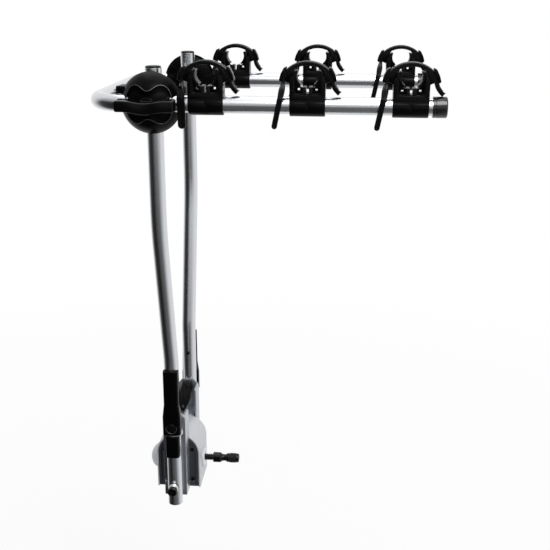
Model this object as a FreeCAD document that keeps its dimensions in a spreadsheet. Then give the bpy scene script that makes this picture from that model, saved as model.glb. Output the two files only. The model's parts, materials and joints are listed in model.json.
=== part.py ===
import FreeCAD, Part
import math
import os
import re

import Sketcher

# A bike rack that clamps on a 50 mm tow ball. Millimetres, +Z up, the origin at the ball's centre.
# +X points away from the car and -Y is the left side. Each name is a cell of the sheet.
SIZES = {
    # Tubes
    "tube_radius": 14,
    "tube_wall": 2,
    "hub_x": 35.5,
    "hub_z": 748,
    # Arm frame
    "arm_y": 196.5,
    "arm_reach": 470,
    "crossbar_reach": 99,
    "arm_bend": 62,
    "cap_length": 23.5,
    "cap_wall": 3,
    "cap_overlap": 14,
    # Uprights
    "upright_y": 164.5,
    "upright_top": 55,
    "lower_y": 97,
    "lower_end": 49.5,
    "upper_corner": 530.5,
    "lower_corner": 250,
    "upper_bend": 345,
    "lower_bend": 100,
    "plug_height": 3,
    "plug_depth": 12,
    "plug_rim": 13,
    # Clearances
    "seat_gap": 0.05,
    "running_gap": 0.05,
    "face_gap": 0.1,
    "slide_gap": 0.3,
    # Cradles
    "cradle_first": 92.6,
    "cradle_pitch": 164.3,
    "cradle_width": 57.4,
    "cradle_radius": 17.3,
    "cradle_depth": 30,
    "cradle_height": 56,
    "cradle_inner": 21,
    "cradle_floor": 19,
    "cradle_top_width": 24,
    "cradle_corner": 5,
    "cradle_bevel": 2,
    "cradle_shoulder": 4,
    "cradle_waist": 6,
    "hook_reach": 5.5,
    "hook_z": 50,
    "hook_half": 2.5,
    "hook_plate": 3,
    "hook_low": 40,
    "hook_high": 61,
    "hook_low_x": 41.3,
    "hook_high_x": 33.3,
    "slot_depth": 1.6,
    "slot_half": 2,
    # Rubber pads in the cradles
    "pad_depth": 26,
    "pad_skin": 1.3,
    "grip_radius": 17,
    "grip_z": 48,
    "grip_wall": 3.2,
    "grip_start": 155,
    "grip_end": 234,
    "finger_gap": 2.3,
    "finger_wide": 6.2,
    "finger_top": 30.4,
    # Straps
    "strap_width": 14,
    "strap_wall": 5.5,
    "strap_radius": 39.5,
    "strap_z": 36,
    "tip_x": 51,
    "tip_z": 17.6,
    "tail_top": 49,
    "tail_x": 53,
    "tail_z": 39,
    "tail_wide": 11,
    "tail_wall": 2.8,
    "tail_turn": 12,
    "tail_lap": 0.5,
    "eye_wide": 5,
    "eye_high": -6,
    # Hub clamps
    "bolt_radius": 5,
    "bolt_head": 10,
    "saddle_radius": 30,
    "upright_saddle_low": 166,
    "upright_saddle_high": 180.4,
    "arm_saddle_high": 190,
    "bolt_start": 144,
    "bolt_end": 238,
    "dome_rim": 186.6,
    "dome_radius": 48.2,
    "dome_height": 37.4,
    "dome_edge": 2.5,
    "recess_floor": 212.5,
    "lobe_radius": 32,
    "lobe_x": 21,
    "rib_inner": 33,
    "rib_outer": 43.5,
    "rib_depth": 8,
    "rib_angle": 2,
    "tab_reach": 58,
    "tab_z": 14.6,
    "tab_height": 12,
    "tab_long": 14,
    "knob_low": 225,
    "knob_deep": 27,
    "knob_reach": 50.5,
    "knob_tip": 7,
    "knob_middle": 11.5,
    "knob_neck": 13,
    # Covers on the lower tubes
    "cover_low": 106,
    "cover_high": 237,
    "cover_half": 14.3,
    "cover_out": 5.5,
    "cover_corner": 6,
    "cover_edge": 4,
    "shoe_height": 37,
    "shoe_slope": 25,
    "shoe_extra": 2.9,
    "lower_cover_half": 13.2,
    "lower_cover_low": 57,
    "lower_cover_high": 101,
    "collar_low": 101.5,
    "collar_high": 105.5,
    "collar_wall": 1.6,
    "screw_z": 195.5,
    "screw_radius": 2.2,
    "screw_head": 3.4,
    "screw_deep": 2.2,
    "screw_skin": 1.5,
    # Tilt pivot
    "pivot_z": 121,
    "pivot_radius": 6,
    "pivot_start": 71,
    "pivot_head": 9,
    "head_height": 6,
    "nut_radius": 9,
    "nut_height": 4,
    # Latch pins
    "latch_drop": 10,
    "latch_radius": 4,
    "latch_tip": 77,
    "latch_knob": 9.6,
    "latch_knob_low": 122.5,
    "latch_knob_deep": 9,
    "spring_radius": 7,
    "spring_wire": 0.8,
    "spring_turns": 4,
    "seat_radius": 9.5,
    "seat_top": 112.5,
    # Side brackets
    "web_out": 82.5,
    "web_wall": 3,
    "bracket_low_x": 12,
    "bracket_high_x": 56,
    "bracket_top": 139,
    "bracket_foot": 42,
    "corner_x": 10.5,
    "corner_z": 13,
    "scallop_radius": 24,
    "scallop_half": 9,
    "gate_half": 4.4,
    # Housing
    "arch_x": 33,
    "arch_z": 30,
    "arch_radius": 43.5,
    "arch_wall": 3,
    "arch_half": 45,
    "arch_foot": 46,
    "bulge_wall": 3,
    "ball_radius": 25,
    "cup_edge": 4,
    "lip_drop": 15,
    "entry_half": 27,
    "neck_radius": 15,
    "boss_radius": 20.5,
    "boss_height": 2.5,
    "bush_radius": 11,
    "bush_length": 12,
    # End plates, beam and tie bolts
    "plate_wall": 5,
    "plate_inset": 1,
    "plate_rim": 4,
    "plate_foot": 2,
    "panel_foot": 6,
    "plate_step": 1.5,
    "channel_x": 52,
    "channel_wide": 14.5,
    "channel_low": -33,
    "channel_high": 42,
    "beam_low_x": 16,
    "beam_wide": 30,
    "beam_z": 31,
    "beam_tall": 28,
    "beam_wall": 3,
    "tie_radius": 2.5,
    "tie_head": 3.6,
    "tie_deep": 2,
    "tie_back": 61,
    "tie_front": 5,
    "tie_high": 37.5,
    "tie_low": 28.5,
    # Jaw and spindle
    "jaw_front": 4,
    "jaw_back": 38,
    "jaw_drop": 24,
    "socket_depth": 11,
    "thread_radius": 7,
    "nut_x": 98,
    "nut_long": 16,
    "nut_flat": 10,
    "neck_long": 11,
    "neck_thin": 6.5,
    "handle_long": 26,
    "handle_radius": 9.8,
    # Webbing strap on the right bracket
    "web_strap_wide": 22,
    "web_strap_wall": 3,
    "web_strap_top_x": 33.5,
    "web_strap_top_z": 134,
    "web_strap_low_x": 21,
    "web_strap_low_z": 66,
    "rivet_head": 3,
}

doc = FreeCAD.newDocument("rack")
sheet = doc.addObject("Spreadsheet::Sheet", "sizes")
for row, (word, size) in enumerate(SIZES.items(), 1):
    sheet.set(f"A{row}", word)
    sheet.set(f"B{row}", str(size))
    sheet.setAlias(f"B{row}", word)
doc.recompute()

UP = FreeCAD.Vector(0, 0, 1)
SIDES = {"left": -1, "right": 1}
PLACES = ("front", "middle", "rear")
TIES = (
    ("tie_back", "-tie_low", "2 * plate_step"),
    ("tie_back", "tie_high", "2 * plate_step"),
    ("tie_front", "tie_high", "0"),
)
RIB_COUNT = 12
pieces = []


def bound(text):
    """An expression in which each cell's name is given as the sheet's."""
    return re.sub(r"[a-z_]\w*", lambda m: "sizes." + m[0] if m[0] in SIZES else m[0], str(text))


def number(text):
    """The value of an expression on the sheet."""
    return float(sheet.evalExpression(bound(text)))


def bind(thing, **values):
    """Ties properties to expressions; a double underscore stands for a dot."""
    for name, text in values.items():
        thing.setExpression(name.replace("__", "."), bound(text))
    return thing


def piece(thing, label):
    """Names a finished sub-part."""
    thing.Label = label
    pieces.append(thing)
    return thing


def place(thing, x="0", y="0", z="0"):
    """Moves an object to a point worked out from the sheet."""
    return bind(thing, Placement__Base__x=x, Placement__Base__y=y, Placement__Base__z=z)


TURNS = {
    "X": FreeCAD.Rotation(FreeCAD.Vector(0, 1, 0), 90),
    "Y": FreeCAD.Rotation(FreeCAD.Vector(1, 0, 0), -90),
    "Z": FreeCAD.Rotation(),
}


def rod(axis, radius, length, x="0", y="0", z="0"):
    """A cylinder that starts at a point and runs along an axis."""
    thing = doc.addObject("Part::Cylinder", "rod")
    thing.Placement = FreeCAD.Placement(FreeCAD.Vector(), TURNS[axis])
    bind(thing, Radius=radius, Height=length)
    return place(thing, x, y, z)


def cone(axis, radius, end_radius, length, x="0", y="0", z="0"):
    """A cone that starts at a point and runs along an axis."""
    thing = doc.addObject("Part::Cone", "cone")
    thing.Placement = FreeCAD.Placement(FreeCAD.Vector(), TURNS[axis])
    bind(thing, Radius1=radius, Radius2=end_radius, Height=length)
    return place(thing, x, y, z)


def block(x, y, z, long, wide, tall):
    """A box from its lowest corner."""
    thing = doc.addObject("Part::Box", "block")
    bind(thing, Length=long, Width=wide, Height=tall)
    return place(thing, x, y, z)


def prism(axis, radius, length, x="0", y="0", z="0"):
    """A hexagonal bar that starts at a point and runs along an axis."""
    thing = doc.addObject("Part::Prism", "prism")
    thing.Polygon = 6
    thing.Placement = FreeCAD.Placement(FreeCAD.Vector(), TURNS[axis])
    bind(thing, Circumradius=radius, Height=length)
    return place(thing, x, y, z)


def ball(radius, x="0", y="0", z="0"):
    """A sphere."""
    thing = doc.addObject("Part::Sphere", "ball")
    bind(thing, Radius=radius)
    return place(thing, x, y, z)


def joined(*things):
    """Several objects fused into one."""
    thing = doc.addObject("Part::MultiFuse", "joined")
    thing.Shapes = list(things)
    return thing


def group(*things):
    """Several objects kept apart in one."""
    thing = doc.addObject("Part::Compound", "group")
    thing.Links = list(things)
    return thing


def cut(base, *tools):
    """An object with others taken out of it."""
    for tool in tools:
        thing = doc.addObject("Part::Cut", "cut")
        thing.Base = base
        thing.Tool = tool
        base = thing
    return base


def side_start(side, near, far):
    """The lower Y of what lies from near to far outwards on one side."""
    return f"{near}" if side > 0 else f"-({far})"


def side_rod(side, radius, near, far, x, z):
    """A cylinder across one side, between two distances from the middle plane."""
    return rod("Y", radius, f"({far}) - ({near})", x, side_start(side, near, far), z)


def body_of(name):
    """A new body."""
    return doc.addObject("PartDesign::Body", name)


def sketch(body, role, lift="0", right="0", up="0"):
    """A sketch on one of the body's own planes, lifted off it and with its origin moved."""
    thing = body.newObject("Sketcher::SketchObject", "outline")
    origin = next(f for f in body.Origin.OriginFeatures if f.Role == role)
    thing.AttachmentSupport = [(origin, "")]
    thing.MapMode = "FlatFace"
    bind(thing, AttachmentOffset__Base__x=right, AttachmentOffset__Base__y=up)
    bind(thing, AttachmentOffset__Base__z=lift)
    return thing


def pinned(drawing, geometry, end, **texts):
    """Fixes one end or centre of a line or an arc at a point."""
    for kind, text in texts.items():
        value = number(text)
        index = drawing.addConstraint(Sketcher.Constraint(kind, -1, 1, geometry, end, value))
        drawing.setExpression(f"Constraints[{index}]", bound(text))


def circle(drawing, radius, x="0", y="0"):
    """A circle with its centre and radius tied to the sheet."""
    centre = FreeCAD.Vector(number(x), number(y), 0)
    index = drawing.addGeometry(Part.Circle(centre, UP, number(radius)))
    pinned(drawing, index, 3, DistanceX=x, DistanceY=y)
    last = drawing.addConstraint(Sketcher.Constraint("Radius", index, number(radius)))
    drawing.setExpression(f"Constraints[{last}]", bound(radius))


class About:
    """An arc about a centre, from the point before it to the point after it."""

    def __init__(self, x, y, turn=1):
        self.x = x
        self.y = y
        self.turn = turn


def outline(drawing, *steps, closed=True):
    """Lines and arcs from point to point, each end tied to the sheet."""
    steps = list(steps)
    if closed:
        steps.append(steps[0])
    before = steps[0]
    arc = None
    for step in steps[1:]:
        if isinstance(step, About):
            arc = step
            continue
        start = FreeCAD.Vector(number(before[0]), number(before[1]), 0)
        end = FreeCAD.Vector(number(step[0]), number(step[1]), 0)
        if arc is None:
            index = drawing.addGeometry(Part.LineSegment(start, end))
            pinned(drawing, index, 1, DistanceX=before[0], DistanceY=before[1])
            pinned(drawing, index, 2, DistanceX=step[0], DistanceY=step[1])
        else:
            centre = FreeCAD.Vector(number(arc.x), number(arc.y), 0)
            first, last = (start, end) if arc.turn > 0 else (end, start)
            index = draw_arc(drawing, centre, first, last)
            opening, closing = (before, step) if arc.turn > 0 else (step, before)
            pinned(drawing, index, 3, DistanceX=arc.x, DistanceY=arc.y)
            pinned(drawing, index, 1, DistanceX=opening[0], DistanceY=opening[1])
            flat = abs((last - centre).y) > abs((last - centre).x)
            if flat:
                pinned(drawing, index, 2, DistanceX=closing[0])
            else:
                pinned(drawing, index, 2, DistanceY=closing[1])
        arc = None
        before = step


def draw_arc(drawing, centre, first, last):
    """An anticlockwise arc between two points."""
    radius = (first - centre).Length
    low = math.atan2((first - centre).y, (first - centre).x)
    high = math.atan2((last - centre).y, (last - centre).x)
    if high <= low + 1e-9:
        high += 2 * math.pi
    return drawing.addGeometry(Part.ArcOfCircle(Part.Circle(centre, UP, radius), low, high))


def pad(body, drawing, length, midplane=False, reverse=False):
    """Extrudes a sketch and adds it."""
    thing = body.newObject("PartDesign::Pad", "pad")
    thing.Profile = drawing
    thing.Midplane = midplane
    thing.Reversed = reverse
    return bind(thing, Length=length)


def pocket(body, drawing, length=None, midplane=False, reverse=False):
    """Extrudes a sketch and takes it away; with no length it goes right through."""
    doc.recompute()
    before = body.Shape.Volume
    thing = body.newObject("PartDesign::Pocket", "pocket")
    thing.Profile = drawing
    thing.Midplane = midplane
    thing.Reversed = reverse
    if length is None:
        thing.Type = "ThroughAll"
    else:
        bind(thing, Length=length)
    doc.recompute()
    if not body.Shape.Volume < before - 0.5:
        raise ValueError(f"{body.Label}: {thing.Label} takes nothing away")
    return thing


def revolve(body, drawing, axis="H_Axis"):
    """Turns a sketch round one of its own axes and adds it."""
    thing = body.newObject("PartDesign::Revolution", "turned")
    thing.Profile = drawing
    thing.ReferenceAxis = (drawing, [axis])
    thing.Angle = 360
    return thing


def turned(name, axis, at, *points):
    """A body turned about an axis through a point; each point is a distance along it and a radius."""
    body = body_of(name)
    x, y, z = at
    if axis == "X":
        drawing = sketch(body, "XY_Plane", lift=z, right=x, up=y)
    else:
        drawing = sketch(body, "YZ_Plane", lift=x, right=y, up=z)
    outline(drawing, *points)
    revolve(body, drawing)
    return body


def tube_path(body, role, corners, bends, lift="0"):
    """Straight runs joined by tangent arcs, through corners given as expressions.

    Each bend is a radius; the points where its arc meets the runs are worked out and tied to the sheet.
    """
    drawing = sketch(body, role, lift=lift)
    points = [corners[0]]
    for (ax, ay), (bx, by), (cx, cy), radius in zip(corners, corners[1:], corners[2:], bends):
        one = f"sqrt(({ax} - ({bx})) ^ 2 + ({ay} - ({by})) ^ 2)"
        two = f"sqrt(({cx} - ({bx})) ^ 2 + ({cy} - ({by})) ^ 2)"
        ux, uy = f"(({ax} - ({bx})) / {one})", f"(({ay} - ({by})) / {one})"
        vx, vy = f"(({cx} - ({bx})) / {two})", f"(({cy} - ({by})) / {two})"
        cosine = f"({ux} * {vx} + {uy} * {vy})"
        reach = f"({radius} * sqrt((1 + {cosine}) / (1 - {cosine})))"
        middle = f"({radius} / sqrt((1 - {cosine}) / 2) / sqrt(2 + 2 * {cosine}))"
        first = (f"{bx} + {reach} * {ux}", f"{by} + {reach} * {uy}")
        last = (f"{bx} + {reach} * {vx}", f"{by} + {reach} * {vy}")
        centre = (f"{bx} + {middle} * ({ux} + {vx})", f"{by} + {middle} * ({uy} + {vy})")
        left_turn = number(ux) * number(vy) - number(uy) * number(vx) < 0
        points += [first, About(*centre, turn=1 if left_turn else -1), last]
    outline(drawing, *points, corners[-1], closed=False)
    return drawing


def tube(body, path, section):
    """Sweeps a section along a path."""
    thing = body.newObject("PartDesign::AdditivePipe", "tube")
    thing.Profile = section
    thing.Spine = path
    return thing


def arm_frame():
    """The U-shaped arm tube: two arms and a closing bar, with holes for the hub bolts."""
    body = body_of("arm_tube")
    front = "hub_x - crossbar_reach"
    rear = "hub_x + arm_reach"
    corners = [(rear, "-arm_y"), (front, "-arm_y"), (front, "arm_y"), (rear, "arm_y")]
    path = tube_path(body, "XY_Plane", corners, ["arm_bend", "arm_bend"], lift="hub_z")
    section = sketch(body, "YZ_Plane", lift=rear, right="-arm_y", up="hub_z")
    circle(section, "tube_radius")
    circle(section, "tube_radius - tube_wall")
    tube(body, path, section)
    holes = sketch(body, "XZ_Plane")
    circle(holes, "bolt_radius + running_gap", "hub_x", "hub_z")
    pocket(body, holes, "3 * arm_y", midplane=True)
    piece(body, "arm_frame")


def arm_caps():
    """Black caps pushed over the open ends of the arms."""
    for side, sign in SIDES.items():
        end = "hub_x + arm_reach"
        body = turned(
            f"{side}_cap_body", "X", (end, f"{sign} * arm_y", "hub_z"),
            ("-cap_overlap", "tube_radius + seat_gap"),
            ("-cap_overlap", "tube_radius + cap_wall"),
            ("cap_length - cap_overlap - 2", "tube_radius + cap_wall"),
            ("cap_length - cap_overlap", "tube_radius + cap_wall - 2"),
            ("cap_length - cap_overlap", "0"),
            ("seat_gap", "0"),
            ("seat_gap", "tube_radius + seat_gap"),
        )
        piece(body, f"{side}_arm_cap")


def uprights():
    """The two uprights: straight under the hub, drawn in by two bends, straight at the foot."""
    for side, sign in SIDES.items():
        body = body_of(f"{side}_upright_tube")
        top = "hub_z + upright_top"
        corners = [
            (f"{sign} * upright_y", top),
            (f"{sign} * upright_y", "upper_corner"),
            (f"{sign} * lower_y", "lower_corner"),
            (f"{sign} * lower_y", "-lower_end"),
        ]
        path = tube_path(body, "YZ_Plane", corners, ["upper_bend", "lower_bend"], lift="hub_x")
        section = sketch(body, "XY_Plane", lift=top, right="hub_x", up=f"{sign} * upright_y")
        circle(section, "tube_radius")
        circle(section, "tube_radius - tube_wall")
        tube(body, path, section)
        holes = sketch(body, "XZ_Plane")
        circle(holes, "bolt_radius + seat_gap", "hub_x", "hub_z")
        circle(holes, "screw_radius + seat_gap", "hub_x", "screw_z")
        circle(holes, "pivot_radius + running_gap", "hub_x", "pivot_z")
        circle(holes, "latch_radius + running_gap", "hub_x", "-latch_drop")
        pocket(body, holes, "3 * arm_y", midplane=True)
        piece(body, f"{side}_upright")


def upright_caps():
    """Plugs in the uprights: a shallow head and a spigot in each top, and one set into each foot."""
    plugs = []
    for sign in SIDES.values():
        y = f"{sign} * upright_y"
        top = "hub_z + upright_top"
        head = rod("Z", "plug_rim", "plug_height - 1", "hub_x", y, f"{top} + seat_gap")
        crown = cone("Z", "plug_rim", "plug_rim - 3", "1", "hub_x", y,
                     f"{top} + seat_gap + plug_height - 1")
        spigot = rod("Z", "tube_radius - tube_wall - seat_gap", "plug_depth + 1", "hub_x", y,
                     f"{top} - plug_depth")
        plugs.append(joined(head, crown, spigot))
        plugs.append(rod("Z", "tube_radius - tube_wall - seat_gap", "plug_depth", "hub_x",
                         f"{sign} * lower_y", "1 - lower_end"))
    piece(group(*plugs), "upright_plugs")


def cradle_body(name):
    """A cradle clamp about the arm's axis: a sleeve, a U with hooks on its arms, and a slot in front."""
    body = body_of(name)
    sleeve = sketch(body, "XY_Plane")
    outline(
        sleeve,
        ("-cradle_width / 2", "0"),
        ("-cradle_width / 2", "cradle_radius - 1"),
        ("1 - cradle_width / 2", "cradle_radius"),
        ("cradle_width / 2 - 1", "cradle_radius"),
        ("cradle_width / 2", "cradle_radius - 1"),
        ("cradle_width / 2", "0"),
    )
    revolve(body, sleeve)
    shape = sketch(body, "XZ_Plane")
    outline(
        shape,
        ("-cradle_width / 2", "cradle_shoulder"),
        ("-cradle_width / 2", "cradle_floor + cradle_shoulder"),
        ("-cradle_top_width", "hook_z - cradle_waist"),
        ("-cradle_top_width", "cradle_height - cradle_bevel"),
        ("cradle_bevel - cradle_top_width", "cradle_height"),
        ("-cradle_inner", "cradle_height"),
        ("-cradle_inner", "cradle_floor + cradle_corner"),
        About("cradle_corner - cradle_inner", "cradle_floor + cradle_corner"),
        ("cradle_corner - cradle_inner", "cradle_floor"),
        ("cradle_inner - cradle_corner", "cradle_floor"),
        About("cradle_inner - cradle_corner", "cradle_floor + cradle_corner"),
        ("cradle_inner", "cradle_floor + cradle_corner"),
        ("cradle_inner", "cradle_height"),
        ("cradle_top_width - cradle_bevel", "cradle_height"),
        ("cradle_top_width", "cradle_height - cradle_bevel"),
        ("cradle_top_width", "hook_z - cradle_waist"),
        ("cradle_width / 2", "cradle_floor + cradle_shoulder"),
        ("cradle_width / 2", "cradle_shoulder"),
    )
    pad(body, shape, "cradle_depth", midplane=True)
    for sign in SIDES.values():
        peg = sketch(body, "XZ_Plane")
        outline(
            peg,
            (f"{sign} * (cradle_top_width - 1)", "hook_z - hook_half"),
            (f"{sign} * (hook_high_x + hook_reach)", "hook_z - hook_half"),
            (f"{sign} * (hook_high_x + hook_reach)", "hook_z + hook_half"),
            (f"{sign} * (cradle_top_width - 1)", "hook_z + hook_half"),
        )
        pad(body, peg, "2 * hook_half + 1", midplane=True)
        plate = sketch(body, "XZ_Plane")
        outline(
            plate,
            (f"{sign} * hook_high_x", "hook_high"),
            (f"{sign} * (hook_high_x + hook_plate)", "hook_high"),
            (f"{sign} * (hook_low_x + hook_plate)", "hook_low"),
            (f"{sign} * hook_low_x", "hook_low - 1"),
        )
        pad(body, plate, "strap_width + 1", midplane=True)
    bore = sketch(body, "YZ_Plane")
    circle(bore, "tube_radius + seat_gap")
    pocket(body, bore, "2 * cradle_width", midplane=True)
    for turn in (False, True):
        slot = sketch(body, "XZ_Plane", lift="cradle_radius - slot_depth")
        if turn:
            bind(slot, AttachmentOffset__Base__z="slot_depth - cradle_radius")
        outline(
            slot,
            ("-slot_half", "13"),
            ("-slot_half", "2"),
            ("0", "-4"),
            ("slot_half", "2"),
            ("slot_half", "13"),
        )
        pocket(body, slot, "cradle_radius", reverse=not turn)
    return body


def pad_body(name):
    """A rubber pad: a thin lining of the U, two hooked grips and two fingers on its floor."""
    body = body_of(name)
    inner = "(cradle_inner - seat_gap)"
    floor = "(cradle_floor + seat_gap)"
    high = "(cradle_height - 1)"
    lining = sketch(body, "XZ_Plane")
    bend = f"({floor} + cradle_corner)"
    outline(
        lining,
        (f"-{inner}", high),
        (f"-{inner}", bend),
        About(f"cradle_corner - {inner}", bend),
        (f"cradle_corner - {inner}", floor),
        (f"{inner} - cradle_corner", floor),
        About(f"{inner} - cradle_corner", bend),
        (inner, bend),
        (inner, high),
        (f"{inner} - pad_skin", high),
        (f"{inner} - pad_skin", bend),
        About(f"{inner} - cradle_corner", bend, turn=-1),
        (f"{inner} - cradle_corner", f"{floor} + pad_skin"),
        (f"cradle_corner - {inner}", f"{floor} + pad_skin"),
        About(f"cradle_corner - {inner}", bend, turn=-1),
        (f"pad_skin - {inner}", bend),
        (f"pad_skin - {inner}", high),
    )
    pad(body, lining, "pad_depth", midplane=True)
    outer = "(grip_radius + grip_wall)"
    for sign in SIDES.values():
        grip = sketch(body, "XZ_Plane")
        start, end = ("grip_start", "grip_end")
        outline(
            grip,
            (f"-{sign} * grip_radius * cos({start})", f"grip_z + grip_radius * sin({start})"),
            About("0", "grip_z", turn=-sign),
            (f"-{sign} * grip_radius * cos({end})", f"grip_z + grip_radius * sin({end})"),
            (f"-{sign} * {outer} * cos({end})", f"grip_z + {outer} * sin({end})"),
            About("0", "grip_z", turn=sign),
            (f"-{sign} * {outer} * cos({start})", f"grip_z + {outer} * sin({start})"),
        )
        pad(body, grip, "pad_depth", midplane=True)
        finger = sketch(body, "XZ_Plane")
        outline(
            finger,
            (f"{sign} * finger_gap", floor),
            (f"{sign} * (finger_gap + finger_wide)", floor),
            (f"{sign} * (finger_gap + finger_wide - 0.8)", "finger_top"),
            (f"{sign} * finger_gap", "finger_top"),
        )
        pad(body, finger, "pad_depth", midplane=True)
    return body


def strap_body(name):
    """A rubber strap: an arch over the cradle, a flared tip, and a flat tail with an eye in front."""
    body = body_of(name)
    outer = "strap_radius"
    inner = "(strap_radius - strap_wall)"
    low = "hook_low"
    far = f"sqrt({outer} ^ 2 - ({low} - strap_z) ^ 2)"
    near = f"sqrt({inner} ^ 2 - ({low} - strap_z) ^ 2)"
    arch = sketch(body, "XZ_Plane")
    outline(
        arch,
        (f"-{far}", low),
        About("0", "strap_z", turn=-1),
        (far, low),
        ("tip_x", "tip_z + 2"),
        ("tip_x - 2", "tip_z"),
        (near, low),
        About("0", "strap_z"),
        (f"-{near}", low),
    )
    pad(body, arch, "strap_width", midplane=True)
    front = "(tube_radius + slide_gap)"
    levels = (
        (low, f"-{far}", f"-{near}", "-strap_width / 2", "strap_width / 2"),
        ("(hook_low + 2 * tail_turn) / 3", "-(tail_top - tail_wide / 2)", "-(tail_top - 1.1 * tail_wide)",
         f"-({front} + tail_wall)", f"-({front} - 8)"),
        ("tail_turn", "-tail_top", "-(tail_top - tail_wide)", f"-({front} + tail_wall)", f"-{front}"),
    )
    sections = []
    for height, x_low, x_high, y_low, y_high in levels:
        drawing = sketch(body, "XY_Plane", lift=height)
        outline(drawing, (x_low, y_low), (x_high, y_low), (x_high, y_high), (x_low, y_high))
        sections.append(drawing)
    twist = body.newObject("PartDesign::AdditiveLoft", "twist")
    twist.Profile = sections[0]
    twist.Sections = sections[1:]
    twist.Ruled = True
    tail = sketch(body, "XZ_Plane", lift=front)
    half = "(tail_wide / 2)"
    middle = f"(tail_top - {half})"
    outline(
        tail,
        (f"-{middle} - {half}", "tail_turn + tail_lap"),
        (f"-tail_x - {half}", f"-tail_z + {half}"),
        About("-tail_x", f"-tail_z + {half}"),
        (f"-tail_x + {half}", f"-tail_z + {half}"),
        (f"-{middle} + {half}", "tail_turn + tail_lap"),
    )
    pad(body, tail, "tail_wall")
    eye = sketch(body, "XZ_Plane", lift=front)
    slant = f"((tail_x - {middle}) / (tail_z + tail_turn + tail_lap - {half}))"
    eye_x = f"(-{middle} - {slant} * (tail_turn + tail_lap - eye_high))"
    outline(
        eye,
        (f"{eye_x} - eye_wide / 2", "eye_high"),
        ("-tail_x - eye_wide / 2", f"-tail_z + {half}"),
        About("-tail_x", f"-tail_z + {half}"),
        ("-tail_x + eye_wide / 2", f"-tail_z + {half}"),
        (f"{eye_x} + eye_wide / 2", "eye_high"),
    )
    pocket(body, eye, "tail_wall + 1", reverse=True)
    for sign in SIDES.values():
        hole = sketch(body, "YZ_Plane", lift=f"{sign} * cradle_top_width")
        wide, tall = "(hook_half + 0.5 + slide_gap)", "(hook_half + slide_gap)"
        outline(
            hole,
            (f"-{wide}", f"hook_z - {tall}"),
            (wide, f"hook_z - {tall}"),
            (wide, f"hook_z + {tall}"),
            (f"-{wide}", f"hook_z + {tall}"),
        )
        pocket(body, hole, "hook_low_x - cradle_top_width", reverse=sign > 0)
    return body


def cradles():
    """Three cradles on each arm, each with its rubber pad and strap."""
    for side, sign in SIDES.items():
        for index, place_name in enumerate(PLACES):
            at = (f"hub_x + cradle_first + {index} * cradle_pitch", f"{sign} * arm_y", "hub_z")
            for kind, make in (("cradle", cradle_body), ("pad", pad_body), ("strap", strap_body)):
                body = make(f"{side}_{place_name}_{kind}_body")
                place(body, *at)
                piece(body, f"{side}_{place_name}_{kind}")


def hub_covers():
    """Domed covers outside the arms: a finger recess in front, ribs inside, a channel for the arm."""
    for side, sign in SIDES.items():
        body = body_of(f"{side}_dome")
        profile = sketch(body, "YZ_Plane", lift="hub_x", up="hub_z")
        ball_size = "((dome_radius ^ 2 + dome_height ^ 2) / (2 * dome_height))"
        centre = f"(dome_rim + dome_height - {ball_size})"
        bore = "bolt_radius + running_gap"
        top = f"({centre} + sqrt({ball_size} ^ 2 - (bolt_radius + running_gap) ^ 2))"
        edge = "(dome_rim + dome_edge)"
        side_reach = f"sqrt({ball_size} ^ 2 - ({edge} - {centre}) ^ 2)"
        outline(
            profile,
            (f"{sign} * dome_rim", bore),
            (f"{sign} * {top}", bore),
            About(f"{sign} * {centre}", "0", turn=sign),
            (f"{sign} * {edge}", side_reach),
            (f"{sign} * dome_rim", side_reach),
        )
        revolve(body, profile)
        lobes = sketch(body, "XZ_Plane", lift=f"-{sign} * recess_floor", right="hub_x", up="hub_z")
        meet = "sqrt(lobe_radius ^ 2 - lobe_x ^ 2)"
        outline(
            lobes,
            ("0", meet),
            About("lobe_x", "0", turn=-1),
            ("0", f"-{meet}"),
            About("-lobe_x", "0", turn=-1),
        )
        pocket(body, lobes, "dome_height", reverse=sign < 0)
        cells = sketch(body, "XZ_Plane", lift=f"-{sign} * dome_rim", right="hub_x", up="hub_z")
        for step in range(RIB_COUNT):
            low = f"({360 * step / RIB_COUNT} + rib_angle)"
            high = f"({360 * (step + 1) / RIB_COUNT} - rib_angle)"
            outline(
                cells,
                (f"rib_inner * cos({low})", f"rib_inner * sin({low})"),
                (f"rib_outer * cos({low})", f"rib_outer * sin({low})"),
                About("0", "0"),
                (f"rib_outer * cos({high})", f"rib_outer * sin({high})"),
                (f"rib_inner * cos({high})", f"rib_inner * sin({high})"),
                About("0", "0", turn=-1),
            )
        pocket(body, cells, "rib_depth", reverse=sign < 0)
        hollow = sketch(body, "XZ_Plane", lift=f"-{sign} * dome_rim", right="hub_x", up="hub_z")
        circle(hollow, "saddle_radius + slide_gap")
        pocket(body, hollow, "arm_saddle_high + seat_gap - dome_rim", reverse=sign < 0)
        way = sketch(body, "YZ_Plane", lift="hub_x", up="hub_z")
        half = "(tube_radius + seat_gap)"
        outline(
            way,
            (f"{sign} * (dome_rim - 1)", f"-{half}"),
            (f"{sign} * arm_y", f"-{half}"),
            About(f"{sign} * arm_y", "0", turn=sign),
            (f"{sign} * arm_y", half),
            (f"{sign} * (dome_rim - 1)", half),
        )
        pocket(body, way, "3 * dome_radius", midplane=True)
        piece(body, f"{side}_hub_cover")


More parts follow.
